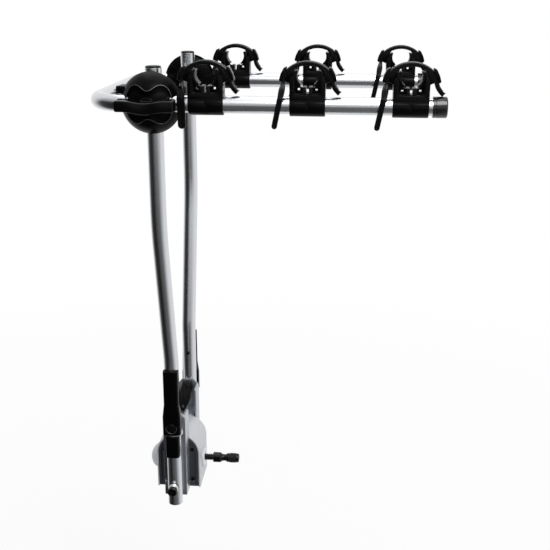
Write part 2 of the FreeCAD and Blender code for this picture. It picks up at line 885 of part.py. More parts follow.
def saddles():
    """Discs that take up the round of the tubes at the hub; the arm's has a ribbed tab."""
    for side, sign in SIDES.items():
        body = body_of(f"{side}_upright_disc")
        disc = sketch(body, "XZ_Plane", lift=f"-{sign} * upright_saddle_high", right="hub_x", up="hub_z")
        circle(disc, "saddle_radius")
        circle(disc, "bolt_radius + seat_gap")
        pad(body, disc, "upright_saddle_high - upright_saddle_low", reverse=sign < 0)
        way = sketch(body, "XY_Plane", lift="hub_z", right="hub_x", up=f"{sign} * upright_y")
        circle(way, "tube_radius + seat_gap")
        pocket(body, way, "3 * saddle_radius", midplane=True)
        piece(body, f"{side}_upright_saddle")

        body = body_of(f"{side}_arm_disc")
        disc = sketch(body, "XZ_Plane", lift=f"-{sign} * arm_saddle_high", right="hub_x", up="hub_z")
        circle(disc, "saddle_radius")
        circle(disc, "bolt_radius + running_gap")
        near = "(upright_saddle_high + face_gap)"
        pad(body, disc, f"arm_saddle_high - {near}", reverse=sign < 0)
        tab = sketch(body, "XZ_Plane", lift=f"-{sign} * (dome_rim - slide_gap)", right="hub_x", up="hub_z")
        outline(
            tab,
            ("-tab_reach", "tab_z"),
            ("-tab_reach", "tab_z + tab_height"),
            ("tab_long - tab_reach", "tab_z + tab_height"),
            ("tab_long - tab_reach", "tab_z + tab_height / 2"),
            ("4 - tab_z - tab_height / 2", "tab_z + tab_height / 2"),
            ("4 - tab_z - tab_height / 2", "tab_z"),
        )
        pad(body, tab, f"dome_rim - slide_gap - {near}", reverse=sign < 0)
        for step in range(3):
            face = f"-{sign} * (dome_rim - slide_gap)"
            groove = sketch(body, "XZ_Plane", lift=face, right="hub_x", up="hub_z")
            start = f"(2.5 + {step} * 4 - tab_reach)"
            outline(
                groove,
                (start, "tab_z + tab_height - 1.5"),
                (f"{start} + 1.4", "tab_z + tab_height - 1.5"),
                (f"{start} + 1.4", "tab_z + tab_height + 1"),
                (start, "tab_z + tab_height + 1"),
            )
            pocket(body, groove, "saddle_radius", reverse=sign > 0)
        way = sketch(body, "YZ_Plane", lift="hub_x", right=f"{sign} * arm_y", up="hub_z")
        circle(way, "tube_radius + seat_gap")
        pocket(body, way, "5 * saddle_radius", midplane=True)
        piece(body, f"{side}_arm_saddle")


def hub_bolts():
    """The bolts of the hubs, each with its head inside the upright."""
    bolts = []
    for side in SIDES.values():
        shank = side_rod(side, "bolt_radius", "bolt_start", "bolt_end", "hub_x", "hub_z")
        inner = "upright_y - tube_radius - seat_gap"
        head = side_rod(side, "bolt_head", "bolt_start", inner, "hub_x", "hub_z")
        bolts.append(joined(shank, head))
    piece(group(*bolts), "hub_bolts")


def wing_knobs():
    """Long wavy knobs on the hub bolts."""
    for side, sign in SIDES.items():
        body = body_of(f"{side}_knob")
        wing = sketch(body, "XZ_Plane", lift=f"-{sign} * (knob_low + knob_deep)", right="hub_x", up="hub_z")
        right = (
            ("0", "knob_middle"),
            ("0.16 * knob_reach", "knob_middle"),
            ("0.34 * knob_reach", "knob_middle - 2.5"),
            ("0.52 * knob_reach", "knob_middle - 3.2"),
            ("0.7 * knob_reach", "knob_tip + 0.6"),
            ("0.86 * knob_reach", "knob_tip + 1.2"),
            ("knob_reach - 2", "knob_tip"),
            ("knob_reach", "knob_tip - 2"),
        )
        corners = list(right)
        corners += [(x, f"-({z})") for x, z in reversed(right)]
        corners += [(f"-({x})", f"-({z})") for x, z in right[1:]]
        corners += [(f"-({x})", z) for x, z in reversed(right[1:])]
        outline(wing, *corners)
        pad(body, wing, "knob_deep", reverse=sign < 0)
        boss = sketch(body, "XZ_Plane", lift=f"-{sign} * (knob_low + 1)", right="hub_x", up="hub_z")
        circle(boss, "knob_neck")
        pad(body, boss, "knob_low + 1 - recess_floor - face_gap", reverse=sign < 0)
        bore = sketch(body, "XZ_Plane", lift=f"-{sign} * (bolt_end + slide_gap)", right="hub_x", up="hub_z")
        circle(bore, "bolt_radius + running_gap")
        pocket(body, bore, "knob_low + knob_deep - recess_floor", reverse=sign > 0)
        shape = body.Shape
        if len(shape.Solids) != 1:
            raise ValueError("The knob is in pieces")
        piece(body, f"{side}_wing_knob")


def cover_outline(body, start, half, far, sign):
    """The section of a cover round the outer half of a lower tube, at a height."""
    corner = "cover_corner"
    drawing = sketch(body, "XY_Plane", lift=start, right="hub_x")
    outline(
        drawing,
        (f"-{half}", f"{sign} * (lower_y + cover_edge)"),
        (f"-{half}", f"{sign} * ({far} - {corner})"),
        About(f"{corner} - {half}", f"{sign} * ({far} - {corner})", turn=-sign),
        (f"{corner} - {half}", f"{sign} * {far}"),
        (f"{half} - {corner}", f"{sign} * {far}"),
        About(f"{half} - {corner}", f"{sign} * ({far} - {corner})", turn=-sign),
        (half, f"{sign} * ({far} - {corner})"),
        (half, f"{sign} * (lower_y + cover_edge)"),
    )
    return drawing


def tube_covers():
    """Plastic covers on the outer half of the lower tubes: a long one with a shoe, and a short one."""
    out = "(lower_y + tube_radius + cover_out)"
    shoe_half = "(cover_half + shoe_extra)"
    shoe_out = "(lower_y + tube_radius + cover_out + shoe_extra / 2)"
    shoe_top = "(cover_low + shoe_height)"
    for side, sign in SIDES.items():
        body = body_of(f"{side}_upper_shell")
        pad(body, cover_outline(body, "cover_low", "cover_half", out, sign), "cover_high - cover_low")
        pad(body, cover_outline(body, "cover_low", shoe_half, shoe_out, sign), "shoe_height")
        slope = body.newObject("PartDesign::AdditiveLoft", "slope")
        slope.Profile = cover_outline(body, shoe_top, shoe_half, shoe_out, sign)
        slope.Sections = [cover_outline(body, f"{shoe_top} + shoe_slope", "cover_half", out, sign)]
        slope.Ruled = True
        tube_way(body, "cover_low", "cover_high", sign)
        hole = sketch(body, "XZ_Plane", right="hub_x")
        circle(hole, "pivot_head + slide_gap", "0", "pivot_z")
        pocket(body, hole, "3 * arm_y", midplane=True)
        blind = sketch(body, "XZ_Plane", right="hub_x")
        circle(blind, "screw_radius + seat_gap", "0", "screw_z")
        pocket(body, blind, f"{out} - screw_skin", reverse=sign < 0)
        piece(body, f"{side}_upper_cover")

        body = body_of(f"{side}_lower_shell")
        section = cover_outline(body, "lower_cover_low", "lower_cover_half", out, sign)
        pad(body, section, "lower_cover_high - lower_cover_low")
        tube_way(body, "lower_cover_low", "lower_cover_high", sign)
        piece(body, f"{side}_lower_cover")
    tube_bands()


def tube_way(body, low, high, sign):
    """Takes the room of a lower tube out of a cover."""
    way = sketch(body, "XY_Plane", lift=f"{low} - 1", right="hub_x", up=f"{sign} * lower_y")
    circle(way, "tube_radius + seat_gap")
    pocket(body, way, f"{high} - {low} + 2", reverse=True)


def tube_bands():
    """The half collars between the covers, and the screws that hold the covers from inside."""
    collars = []
    screws = []
    for side in SIDES.values():
        y = f"{side} * lower_y"
        collar = cut(
            rod("Z", "tube_radius + collar_wall", "collar_high - collar_low", "hub_x", y, "collar_low"),
            rod("Z", "tube_radius + seat_gap", "collar_high - collar_low + 2", "hub_x", y, "collar_low - 1"),
            block("hub_x - 2 * tube_radius", side_start(side, "0", "web_out + slide_gap"), "collar_low - 1",
                  "4 * tube_radius", "web_out + slide_gap", "collar_high - collar_low + 2"),
        )
        collars.append(collar)
        inner = "(lower_y - tube_radius - seat_gap)"
        tip = "(lower_y + tube_radius + cover_out - screw_skin - slide_gap)"
        shank = side_rod(side, "screw_radius", f"{inner} - 1", tip, "hub_x", "screw_z")
        head = side_rod(side, "screw_head", f"{inner} - screw_deep", inner, "hub_x", "screw_z")
        screws.append(joined(shank, head))
    piece(group(*collars), "tube_collars")
    piece(group(*screws), "cover_screws")


def pivots():
    """The tilt bolts through the uprights and the side brackets, and their nuts."""
    bolts = []
    nuts = []
    for side in SIDES.values():
        outer = "(lower_y + tube_radius)"
        shank = side_rod(side, "pivot_radius", "pivot_start", f"{outer} + 2", "hub_x", "pivot_z")
        head = side_rod(side, "pivot_head", f"{outer} + face_gap", f"{outer} + face_gap + head_height - 1",
                        "hub_x", "pivot_z")
        crown = side_rod(side, "pivot_head - 1.5", f"{outer} + 3", f"{outer} + face_gap + head_height",
                         "hub_x", "pivot_z")
        bolts.append(joined(shank, head, crown))
        end = "(web_out - web_wall - seat_gap)"
        if side > 0:
            end = "(web_out - web_wall - web_strap_wall - 2 * seat_gap)"
        start = f"{end} - nut_height"
        nut = prism("Y", "nut_radius", "nut_height", "hub_x", side_start(side, start, end), "pivot_z")
        bore = side_rod(side, "pivot_radius + seat_gap", f"{start} - 1", f"{end} + 1", "hub_x", "pivot_z")
        nuts.append(cut(nut, bore))
    piece(group(*bolts), "pivot_bolts")
    piece(group(*nuts), "pivot_nuts")


def latch_pins():
    """Spring-held pins at the foot of the uprights: seat, pin, knob and spring."""
    seats = []
    for side, sign in SIDES.items():
        z = "-latch_drop"
        seat = side_rod(sign, "seat_radius", "lower_y + 4", "seat_top", "hub_x", z)
        tube_space = rod("Z", "tube_radius + seat_gap", "4 * seat_radius", "hub_x", f"{sign} * lower_y",
                         f"{z} - 2 * seat_radius")
        bore = side_rod(sign, "latch_radius + running_gap", "lower_y", "seat_top + 1", "hub_x", z)
        seats.append(cut(seat, tube_space, bore))
        pin = side_rod(sign, "latch_radius", "latch_tip", "latch_knob_low + 1", "hub_x", z)
        knob_top = "latch_knob_low + latch_knob_deep"
        knob = side_rod(sign, "latch_knob", "latch_knob_low", f"{knob_top} - 1", "hub_x", z)
        crown = side_rod(sign, "latch_knob - 1.5", "latch_knob_low + 1", knob_top, "hub_x", z)
        piece(joined(pin, knob, crown), f"{side}_latch_pin")
        spring(side, sign)
    piece(group(*seats), "spring_seats")


def spring(side, sign):
    """An open coil of round wire between the seat and the knob of a latch pin."""
    radius, wire = number("spring_radius"), number("spring_wire")
    low = number("seat_top + spring_wire + seat_gap")
    high = number("latch_knob_low - spring_wire - seat_gap")
    turns = number("spring_turns")
    centre = FreeCAD.Vector(number("hub_x"), 0, number("-latch_drop"))

    def point(part):
        angle = 2 * math.pi * turns * part
        return centre + FreeCAD.Vector(
            radius * math.cos(angle), sign * (low + (high - low) * part), radius * math.sin(angle)
        )

    steps = int(4 * turns)
    edges = []
    for index in range(steps):
        a, b, c = (point((index + part) / steps) for part in (0, 0.5, 1))
        edges.append(Part.Arc(a, b, c).toShape())
    wire_path = Part.Wire(edges)
    start = point(0)
    along = edges[0].tangentAt(edges[0].FirstParameter)
    section = Part.Wire(Part.Circle(start, along, wire).toShape())
    shape = wire_path.makePipeShell([section], True, True)
    gap = min(
        (point(a / 400) - point(b / 400)).Length
        for a in range(0, 401) for b in range(a + int(400 / turns / 2), 401)
    ) - 2 * wire
    print(f"{side} spring: least gap to itself {gap:.2f} mm")
    thing = doc.addObject("Part::Feature", "coil")
    thing.Shape = shape
    piece(thing, f"{side}_pin_spring")


def housing():
    """The pressed-steel shell over the tow ball, with its bulge in front and the boss of the spindle."""
    arch = body_of("arch")
    for wall in ("arch_radius", "arch_radius - arch_wall"):
        shape = sketch(arch, "XZ_Plane", right="arch_x")
        foot = "-arch_foot" if wall == "arch_radius" else "-arch_foot - 1"
        outline(
            shape,
            (f"-({wall})", foot),
            (wall, foot),
            (wall, "arch_z"),
            About("0", "arch_z"),
            (f"-({wall})", "arch_z"),
        )
        if wall == "arch_radius":
            pad(arch, shape, "2 * arch_half", midplane=True)
        else:
            pocket(arch, shape, "2 * arch_half + 2", midplane=True)
    front = "(arch_x - arch_radius)"
    bulge = cut(
        ball("ball_radius + 2 * bulge_wall"),
        block(f"{front} + 1", "-100", "-100", "200", "200", "200"),
        block("-100", "-100", "-100 - lip_drop", "200", "200", "100"),
    )
    boss = rod("X", "boss_radius", "boss_height + 1", "arch_x + arch_radius - 1")
    shell = cut(
        joined(arch, bulge, boss),
        ball("ball_radius + bulge_wall"),
        block(f"{front} - 5", "-entry_half", "-arch_foot - 5", "arch_wall + 10", "2 * entry_half",
              "arch_foot + 5 - lip_drop"),
        rod("X", "bush_radius + seat_gap", "30", "arch_x + arch_radius - 15"),
    )
    piece(shell, "housing_shell")


def ball_cup():
    """The fixed half of the socket: a lined hemisphere in front of the ball, with a flange."""
    outer = "(ball_radius + bulge_wall - seat_gap)"
    shell = cut(
        ball(outer),
        ball("ball_radius + running_gap"),
        block("-cup_edge", "-100", "-100", "200", "200", "200"),
        block("-100", "-100", "-100 - lip_drop", "200", "200", "100"),
        rod("Z", "neck_radius", "60", "0", "0", "-65"),
    )
    piece(shell, "ball_cup")


def beam():
    """The box tube across the housing."""
    end = "(web_out - web_wall - seat_gap)"
    body = body_of("beam_tube")
    shape = sketch(body, "XZ_Plane", right="beam_low_x", up="beam_z")
    outline(shape, ("0", "0"), ("beam_wide", "0"), ("beam_wide", "beam_tall"), ("0", "beam_tall"))
    wall = "beam_wall"
    outline(
        shape,
        (wall, wall),
        (f"beam_wide - {wall}", wall),
        (f"beam_wide - {wall}", f"beam_tall - {wall}"),
        (wall, f"beam_tall - {wall}"),
    )
    pad(body, shape, f"2 * {end}", midplane=True)
    piece(body, "cross_beam")


def end_plates():
    """Dark plates closing the sides of the housing, with stepped rims and a recessed channel."""
    for side, sign in SIDES.items():
        body = body_of(f"{side}_plate")
        far = "(arch_half - plate_inset)"
        inner = "(arch_radius - arch_wall - seat_gap)"
        steps = (
            (inner, "plate_wall", far, False),
            (f"({inner} - plate_rim)", "plate_step", far, True),
            (f"({inner} - 2 * plate_rim)", "plate_step", f"({far} - plate_step)", False),
        )
        for reach, deep, face, taken in steps:
            shape = sketch(body, "XZ_Plane", lift=f"-{sign} * {face}", right="arch_x")
            lift = "plate_foot" if reach == inner else "panel_foot"
            outline(
                shape,
                (f"-{reach}", f"{lift} - arch_foot"),
                (reach, f"{lift} - arch_foot"),
                (reach, "arch_z"),
                About("0", "arch_z"),
                (f"-{reach}", "arch_z"),
            )
            if taken:
                pocket(body, shape, deep, reverse=sign > 0)
            elif reach == inner:
                pad(body, shape, deep, reverse=sign < 0)
            else:
                pad(body, shape, deep, reverse=sign > 0)
        channel = sketch(body, "XZ_Plane", lift=f"-{sign} * {far}")
        outline(
            channel,
            ("channel_x", "channel_low"),
            ("channel_x + channel_wide", "channel_low"),
            ("channel_x + channel_wide", "channel_high"),
            ("channel_x", "channel_high"),
        )
        pocket(body, channel, "2 * plate_step", reverse=sign > 0)
        hole = sketch(body, "XZ_Plane")
        outline(
            hole,
            ("beam_low_x - seat_gap", "beam_z - seat_gap"),
            ("beam_low_x + beam_wide + seat_gap", "beam_z - seat_gap"),
            ("beam_low_x + beam_wide + seat_gap", "beam_z + beam_tall + seat_gap"),
            ("beam_low_x - seat_gap", "beam_z + beam_tall + seat_gap"),
        )
        for x, z, _ in TIES:
            circle(hole, "tie_radius + seat_gap", x, z)
        pocket(body, hole, "3 * arch_half", midplane=True)
        piece(body, f"{side}_end_plate")


def tie_bolts():
    """Bolts that hold the end plates together through the housing."""
    bolts = []
    for x, z, sunk in TIES:
        reach = f"(arch_half - plate_inset + seat_gap - {sunk})"
        shank = rod("Y", "tie_radius", f"2 * {reach} + 2", x, f"-{reach} - 1", z)
        bolts.append(joined(
            shank,
            rod("Y", "tie_head", "tie_deep", x, f"-{reach} - tie_deep", z),
            rod("Y", "tie_head", "tie_deep", x, reach, z),
        ))
    piece(group(*bolts), "tie_bolts")


def spindle_bush():
    """The threaded bush of the spindle in the boss of the housing."""
    bush = cut(
        rod("X", "bush_radius", "bush_length", "arch_x + arch_radius - bush_length + boss_height + 1"),
        rod("X", "thread_radius + running_gap", "3 * bush_length", "arch_x + arch_radius - 2 * bush_length"),
    )
    piece(bush, "spindle_bush")


def side_brackets():
    """Channel brackets, open towards the middle, that carry the uprights."""
    for side, sign in SIDES.items():
        body = body_of(f"{side}_channel")
        plate = sketch(body, "XZ_Plane", lift=f"-{sign} * web_out")
        low, high = "bracket_low_x", "bracket_high_x"
        middle = f"(({low} + {high}) / 2)"
        outline(
            plate,
            (low, "-bracket_foot"),
            (high, "-bracket_foot"),
            (high, "bracket_top - corner_z"),
            (f"{high} - corner_x", "bracket_top"),
            (f"{middle} + scallop_half", "bracket_top"),
            About(middle, "bracket_top + sqrt(scallop_radius ^ 2 - scallop_half ^ 2)", turn=-1),
            (f"{middle} - scallop_half", "bracket_top"),
            (f"{low} + corner_x", "bracket_top"),
            (low, "bracket_top - corner_z"),
        )
        pad(body, plate, "web_out - arch_half - seat_gap", reverse=sign < 0)
        inside = sketch(body, "XZ_Plane", lift=f"-{sign} * (web_out - web_wall)")
        outline(
            inside,
            (f"{low} + web_wall", "-bracket_foot - 1"),
            (f"{high} - web_wall", "-bracket_foot - 1"),
            (f"{high} - web_wall", "bracket_top + 1"),
            (f"{low} + web_wall", "bracket_top + 1"),
        )
        pocket(body, inside, "web_out", reverse=sign > 0)
        holes = sketch(body, "XZ_Plane")
        circle(holes, "pivot_radius + seat_gap", "hub_x", "pivot_z")
        pocket(body, holes, "3 * arm_y", midplane=True)
        gate = sketch(body, "XZ_Plane")
        swing = "(pivot_z + latch_drop)"
        half = "gate_half"
        reach = "(hub_x - bracket_low_x + 3)"
        near = f"({swing} - {half})"
        far = f"({swing} + {half})"
        outline(
            gate,
            ("hub_x", f"-latch_drop - {half}"),
            About("hub_x", "-latch_drop"),
            ("hub_x", f"{half} - latch_drop"),
            About("hub_x", "pivot_z", turn=-1),
            (f"hub_x - {reach}", f"pivot_z - sqrt({near} ^ 2 - {reach} ^ 2)"),
            (f"hub_x - {reach}", f"pivot_z - sqrt({far} ^ 2 - {reach} ^ 2)"),
            About("hub_x", "pivot_z"),
        )
        pocket(body, gate, "3 * arm_y", midplane=True)
        piece(body, f"{side}_bracket")


def webbing():
    """A short ribbed strap riveted to the inner face of the right bracket."""
    body = body_of("webbing_body")
    face = "(web_out - web_wall - seat_gap)"
    shape = sketch(body, "XZ_Plane", lift=f"web_strap_wall - {face}")
    half = "(web_strap_wide / 2)"
    across, down = "web_strap_top_x - web_strap_low_x", "web_strap_top_z - web_strap_low_z"
    length = f"sqrt(({across}) ^ 2 + ({down}) ^ 2)"
    px, pz = f"({half} * ({down}) / {length})", f"({half} * ({across}) / {length})"
    top = ("web_strap_top_x", "web_strap_top_z")
    low = ("web_strap_low_x", "web_strap_low_z")
    outline(
        shape,
        (f"{top[0]} - 0.85 * {px}", f"{top[1]} + 0.85 * {pz}"),
        (f"0.65 * {top[0]} + 0.35 * {low[0]} - {px}", f"0.65 * {top[1]} + 0.35 * {low[1]} + {pz}"),
        (f"{low[0]} - 0.35 * {px}", f"{low[1]} + 0.35 * {pz}"),
        (low[0], f"{low[1]} - 0.3 * {half}"),
        (f"{low[0]} + 0.35 * {px}", f"{low[1]} - 0.1 * {pz}"),
        (f"0.65 * {top[0]} + 0.35 * {low[0]} + {px}", f"0.65 * {top[1]} + 0.35 * {low[1]} - {pz}"),
        (f"{top[0]} + 0.85 * {px}", f"{top[1]} - 0.85 * {pz}"),
    )
    pad(body, shape, "web_strap_wall", reverse=True)
    hole = sketch(body, "XZ_Plane")
    circle(hole, "pivot_radius + seat_gap", "hub_x", "pivot_z")
    pocket(body, hole, "3 * web_out", midplane=True)
    x = f"web_strap_low_x + 0.14 * ({across})"
    z = f"web_strap_low_z + 0.14 * ({down})"
    rivet = rod("Y", "rivet_head", "1.5", x, f"{face} - web_strap_wall - 1.4", z)
    piece(joined(body, rivet), "webbing_strap")


def ball_jaw():
    """The sliding half of the socket, behind the ball."""
    half = "(arch_half - plate_inset - plate_wall - slide_gap)"
    top = "(beam_z - slide_gap)"
    jaw = cut(
        block("jaw_front", f"-{half}", "-jaw_drop", "jaw_back - jaw_front", f"2 * {half}",
              f"jaw_drop + {top}"),
        ball("ball_radius + running_gap"),
        rod("Z", "neck_radius", "60", "0", "0", "-65"),
        rod("X", "thread_radius + running_gap", "socket_depth + 1", "jaw_back - socket_depth"),
    )
    piece(jaw, "ball_jaw")


def spindle():
    """The clamping spindle: a threaded shank with a hexagon and a neck, and its grip."""
    start = "(jaw_back - socket_depth + face_gap)"
    shank = rod("X", "thread_radius", f"nut_x + 1 - {start}", start)
    body = body_of("hexagon")
    shape = sketch(body, "YZ_Plane", lift="nut_x")
    radius = "(nut_flat / cos(30))"
    outline(shape, *[(f"{radius} * sin({60 * i})", f"{radius} * cos({60 * i})") for i in range(6)])
    pad(body, shape, "nut_long")
    neck = cone("X", "neck_thin + 2", "neck_thin", "neck_long", "nut_x + nut_long")
    tang = rod("X", "neck_thin - 1.5", "handle_long - 3", "nut_x + nut_long + neck_long - 1")
    piece(joined(shank, body, neck, tang), "clamp_spindle")
    start = "(nut_x + nut_long + neck_long)"
    grip = turned(
        "grip", "X", (start, "0", "0"),
        ("seat_gap", "neck_thin - 1.5 + seat_gap"),
        ("seat_gap", "handle_radius - 1.5"),
        ("1.5", "handle_radius"),
        ("handle_long - 2.5", "handle_radius"),
        ("handle_long", "handle_radius - 2.5"),
        ("handle_long", "0"),
        ("handle_long - 4 + seat_gap", "0"),
        ("handle_long - 4 + seat_gap", "neck_thin - 1.5 + seat_gap"),
    )
    piece(grip, "spindle_grip")


def report():
    """Checks every object and writes each sub-part."""
    doc.recompute()
    for thing in doc.Objects:
        if "Invalid" in thing.State or "Error" in thing.State:
            raise ValueError(f"{thing.Name} {thing.Label} {thing.TypeId}: {thing.State}")
    os.makedirs("parts", exist_ok=True)
    for thing in pieces:
        shape = thing.Shape
        if shape.isNull() or not shape.isValid():
            raise ValueError(f"{thing.Label} has no valid shape")
        box = shape.BoundBox
        print(thing.Label, len(shape.Solids), round(shape.Volume),
              [round(v, 1) for v in (box.XMin, box.XMax, box.YMin, box.YMax, box.ZMin, box.ZMax)])
        shape.exportStep(f"parts/{thing.Label}.step")


arm_frame()
arm_caps()
uprights()
upright_caps()
cradles()
hub_covers()
saddles()
hub_bolts()
wing_knobs()
tube_covers()
pivots()
latch_pins()
housing()
ball_cup()
beam()
end_plates()
tie_bolts()
spindle_bush()
side_brackets()
webbing()
ball_jaw()
spindle()
report()
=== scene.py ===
"""The looks of a bike rack that clamps on a tow ball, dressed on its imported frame.

Lengths are metres in the frame's own axes: +X away from the car, -Y the left side, +Z up. Classes build the
sub-assemblies, finishes are small frozen dataclasses, and small teeth and ribs that repeat come from one
Geometry Nodes tree.
"""

import json
import logging
import math
from dataclasses import dataclass, field
from enum import Enum
from typing import Iterable, Sequence

import bmesh
import bpy
from mathutils import Matrix, Vector

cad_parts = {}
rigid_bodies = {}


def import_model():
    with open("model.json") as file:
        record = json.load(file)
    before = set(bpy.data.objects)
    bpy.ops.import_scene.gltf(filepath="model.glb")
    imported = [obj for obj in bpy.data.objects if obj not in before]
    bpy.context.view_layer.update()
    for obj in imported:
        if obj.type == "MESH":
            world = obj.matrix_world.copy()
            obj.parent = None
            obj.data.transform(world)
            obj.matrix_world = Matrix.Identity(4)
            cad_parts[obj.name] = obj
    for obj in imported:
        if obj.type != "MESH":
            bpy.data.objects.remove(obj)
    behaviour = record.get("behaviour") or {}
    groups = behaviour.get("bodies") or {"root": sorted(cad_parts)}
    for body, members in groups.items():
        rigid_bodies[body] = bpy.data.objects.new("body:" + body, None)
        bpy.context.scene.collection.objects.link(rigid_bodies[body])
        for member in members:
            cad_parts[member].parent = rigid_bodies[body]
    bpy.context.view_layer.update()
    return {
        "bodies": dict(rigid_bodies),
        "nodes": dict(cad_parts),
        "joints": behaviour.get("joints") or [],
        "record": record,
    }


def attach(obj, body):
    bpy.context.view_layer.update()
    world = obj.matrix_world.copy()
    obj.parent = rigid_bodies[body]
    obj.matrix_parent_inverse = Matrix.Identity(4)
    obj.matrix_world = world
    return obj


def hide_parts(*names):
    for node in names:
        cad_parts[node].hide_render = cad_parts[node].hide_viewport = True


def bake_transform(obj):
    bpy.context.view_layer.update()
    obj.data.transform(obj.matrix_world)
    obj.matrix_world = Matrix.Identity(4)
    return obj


LOG = logging.getLogger("rack")
MM = 0.001
HUB_X = 35.5 * MM
HUB_Z = 748 * MM
ARM_Y = 196.5 * MM
LOWER_Y = 97 * MM
TUBE_RADIUS = 14 * MM
PIVOT_Z = 121 * MM
LATCH_Z = -10 * MM
FIRST_SEAT = 92.6 * MM
SEAT_STEP = 164.3 * MM
SEATS = tuple(HUB_X + FIRST_SEAT + SEAT_STEP * index for index in range(3))
Outline = tuple[tuple[float, float], ...]
Station = tuple[Vector, Vector, Vector]
ACROSS = (0, 1, 0)
UP = (0, 0, 1)
RIGHT_ANGLE = math.radians(90)
ROUNDING_ANGLE = math.radians(32)
FLAT_ANGLE = math.radians(0.6)
SAME_POINT = 2e-6
CORNER_LIMIT = 0.98


class Side(Enum):
    """The two sides of the rack, with the sign of Y on each."""

    LEFT = -1
    RIGHT = 1

    @property
    def word(self) -> str:
        """The side's name in lower case."""
        return self.name.lower()


class Place(Enum):
    """The cradles of an arm, from the hub outwards."""

    FRONT = 0
    MIDDLE = 1
    REAR = 2

    @property
    def word(self) -> str:
        """The place's name in lower case."""
        return self.name.lower()


@dataclass(frozen=True)
class Value:
    """A number in a shader: a socket or a plain number, with the usual operators."""

    graph: "Graph"
    source: object

    def _math(self, operation: str, *others: object) -> "Value":
        """Adds a Math node.

        Args:
            operation: The node's operation.
            others: The other numbers or values.

        Returns:
            The node's result.
        """
        made = self.graph.node("ShaderNodeMath", {"operation": operation}, [self, *others])
        return self.graph.out(made, "Value")

    def __add__(self, other: object) -> "Value":
        """Sum."""
        return self._math("ADD", other)

    __radd__ = __add__

    def __mul__(self, other: object) -> "Value":
        """Product."""
        return self._math("MULTIPLY", other)

    __rmul__ = __mul__

    def __sub__(self, other: object) -> "Value":
        """Difference."""
        return self._math("SUBTRACT", other)

    def __rsub__(self, other: object) -> "Value":
        """Difference from a number."""
        return Value(self.graph, other)._math("SUBTRACT", self)

    def __truediv__(self, other: object) -> "Value":
        """Quotient."""
        return self._math("DIVIDE", other)

    def __pow__(self, other: object) -> "Value":
        """Power."""
        return self._math("POWER", other)

    def clamped(self) -> "Value":
        """Held between 0 and 1."""
        return self._math("MAXIMUM", 0.0)._math("MINIMUM", 1.0)

    def sine(self) -> "Value":
        """Sine, of radians."""
        return self._math("SINE")


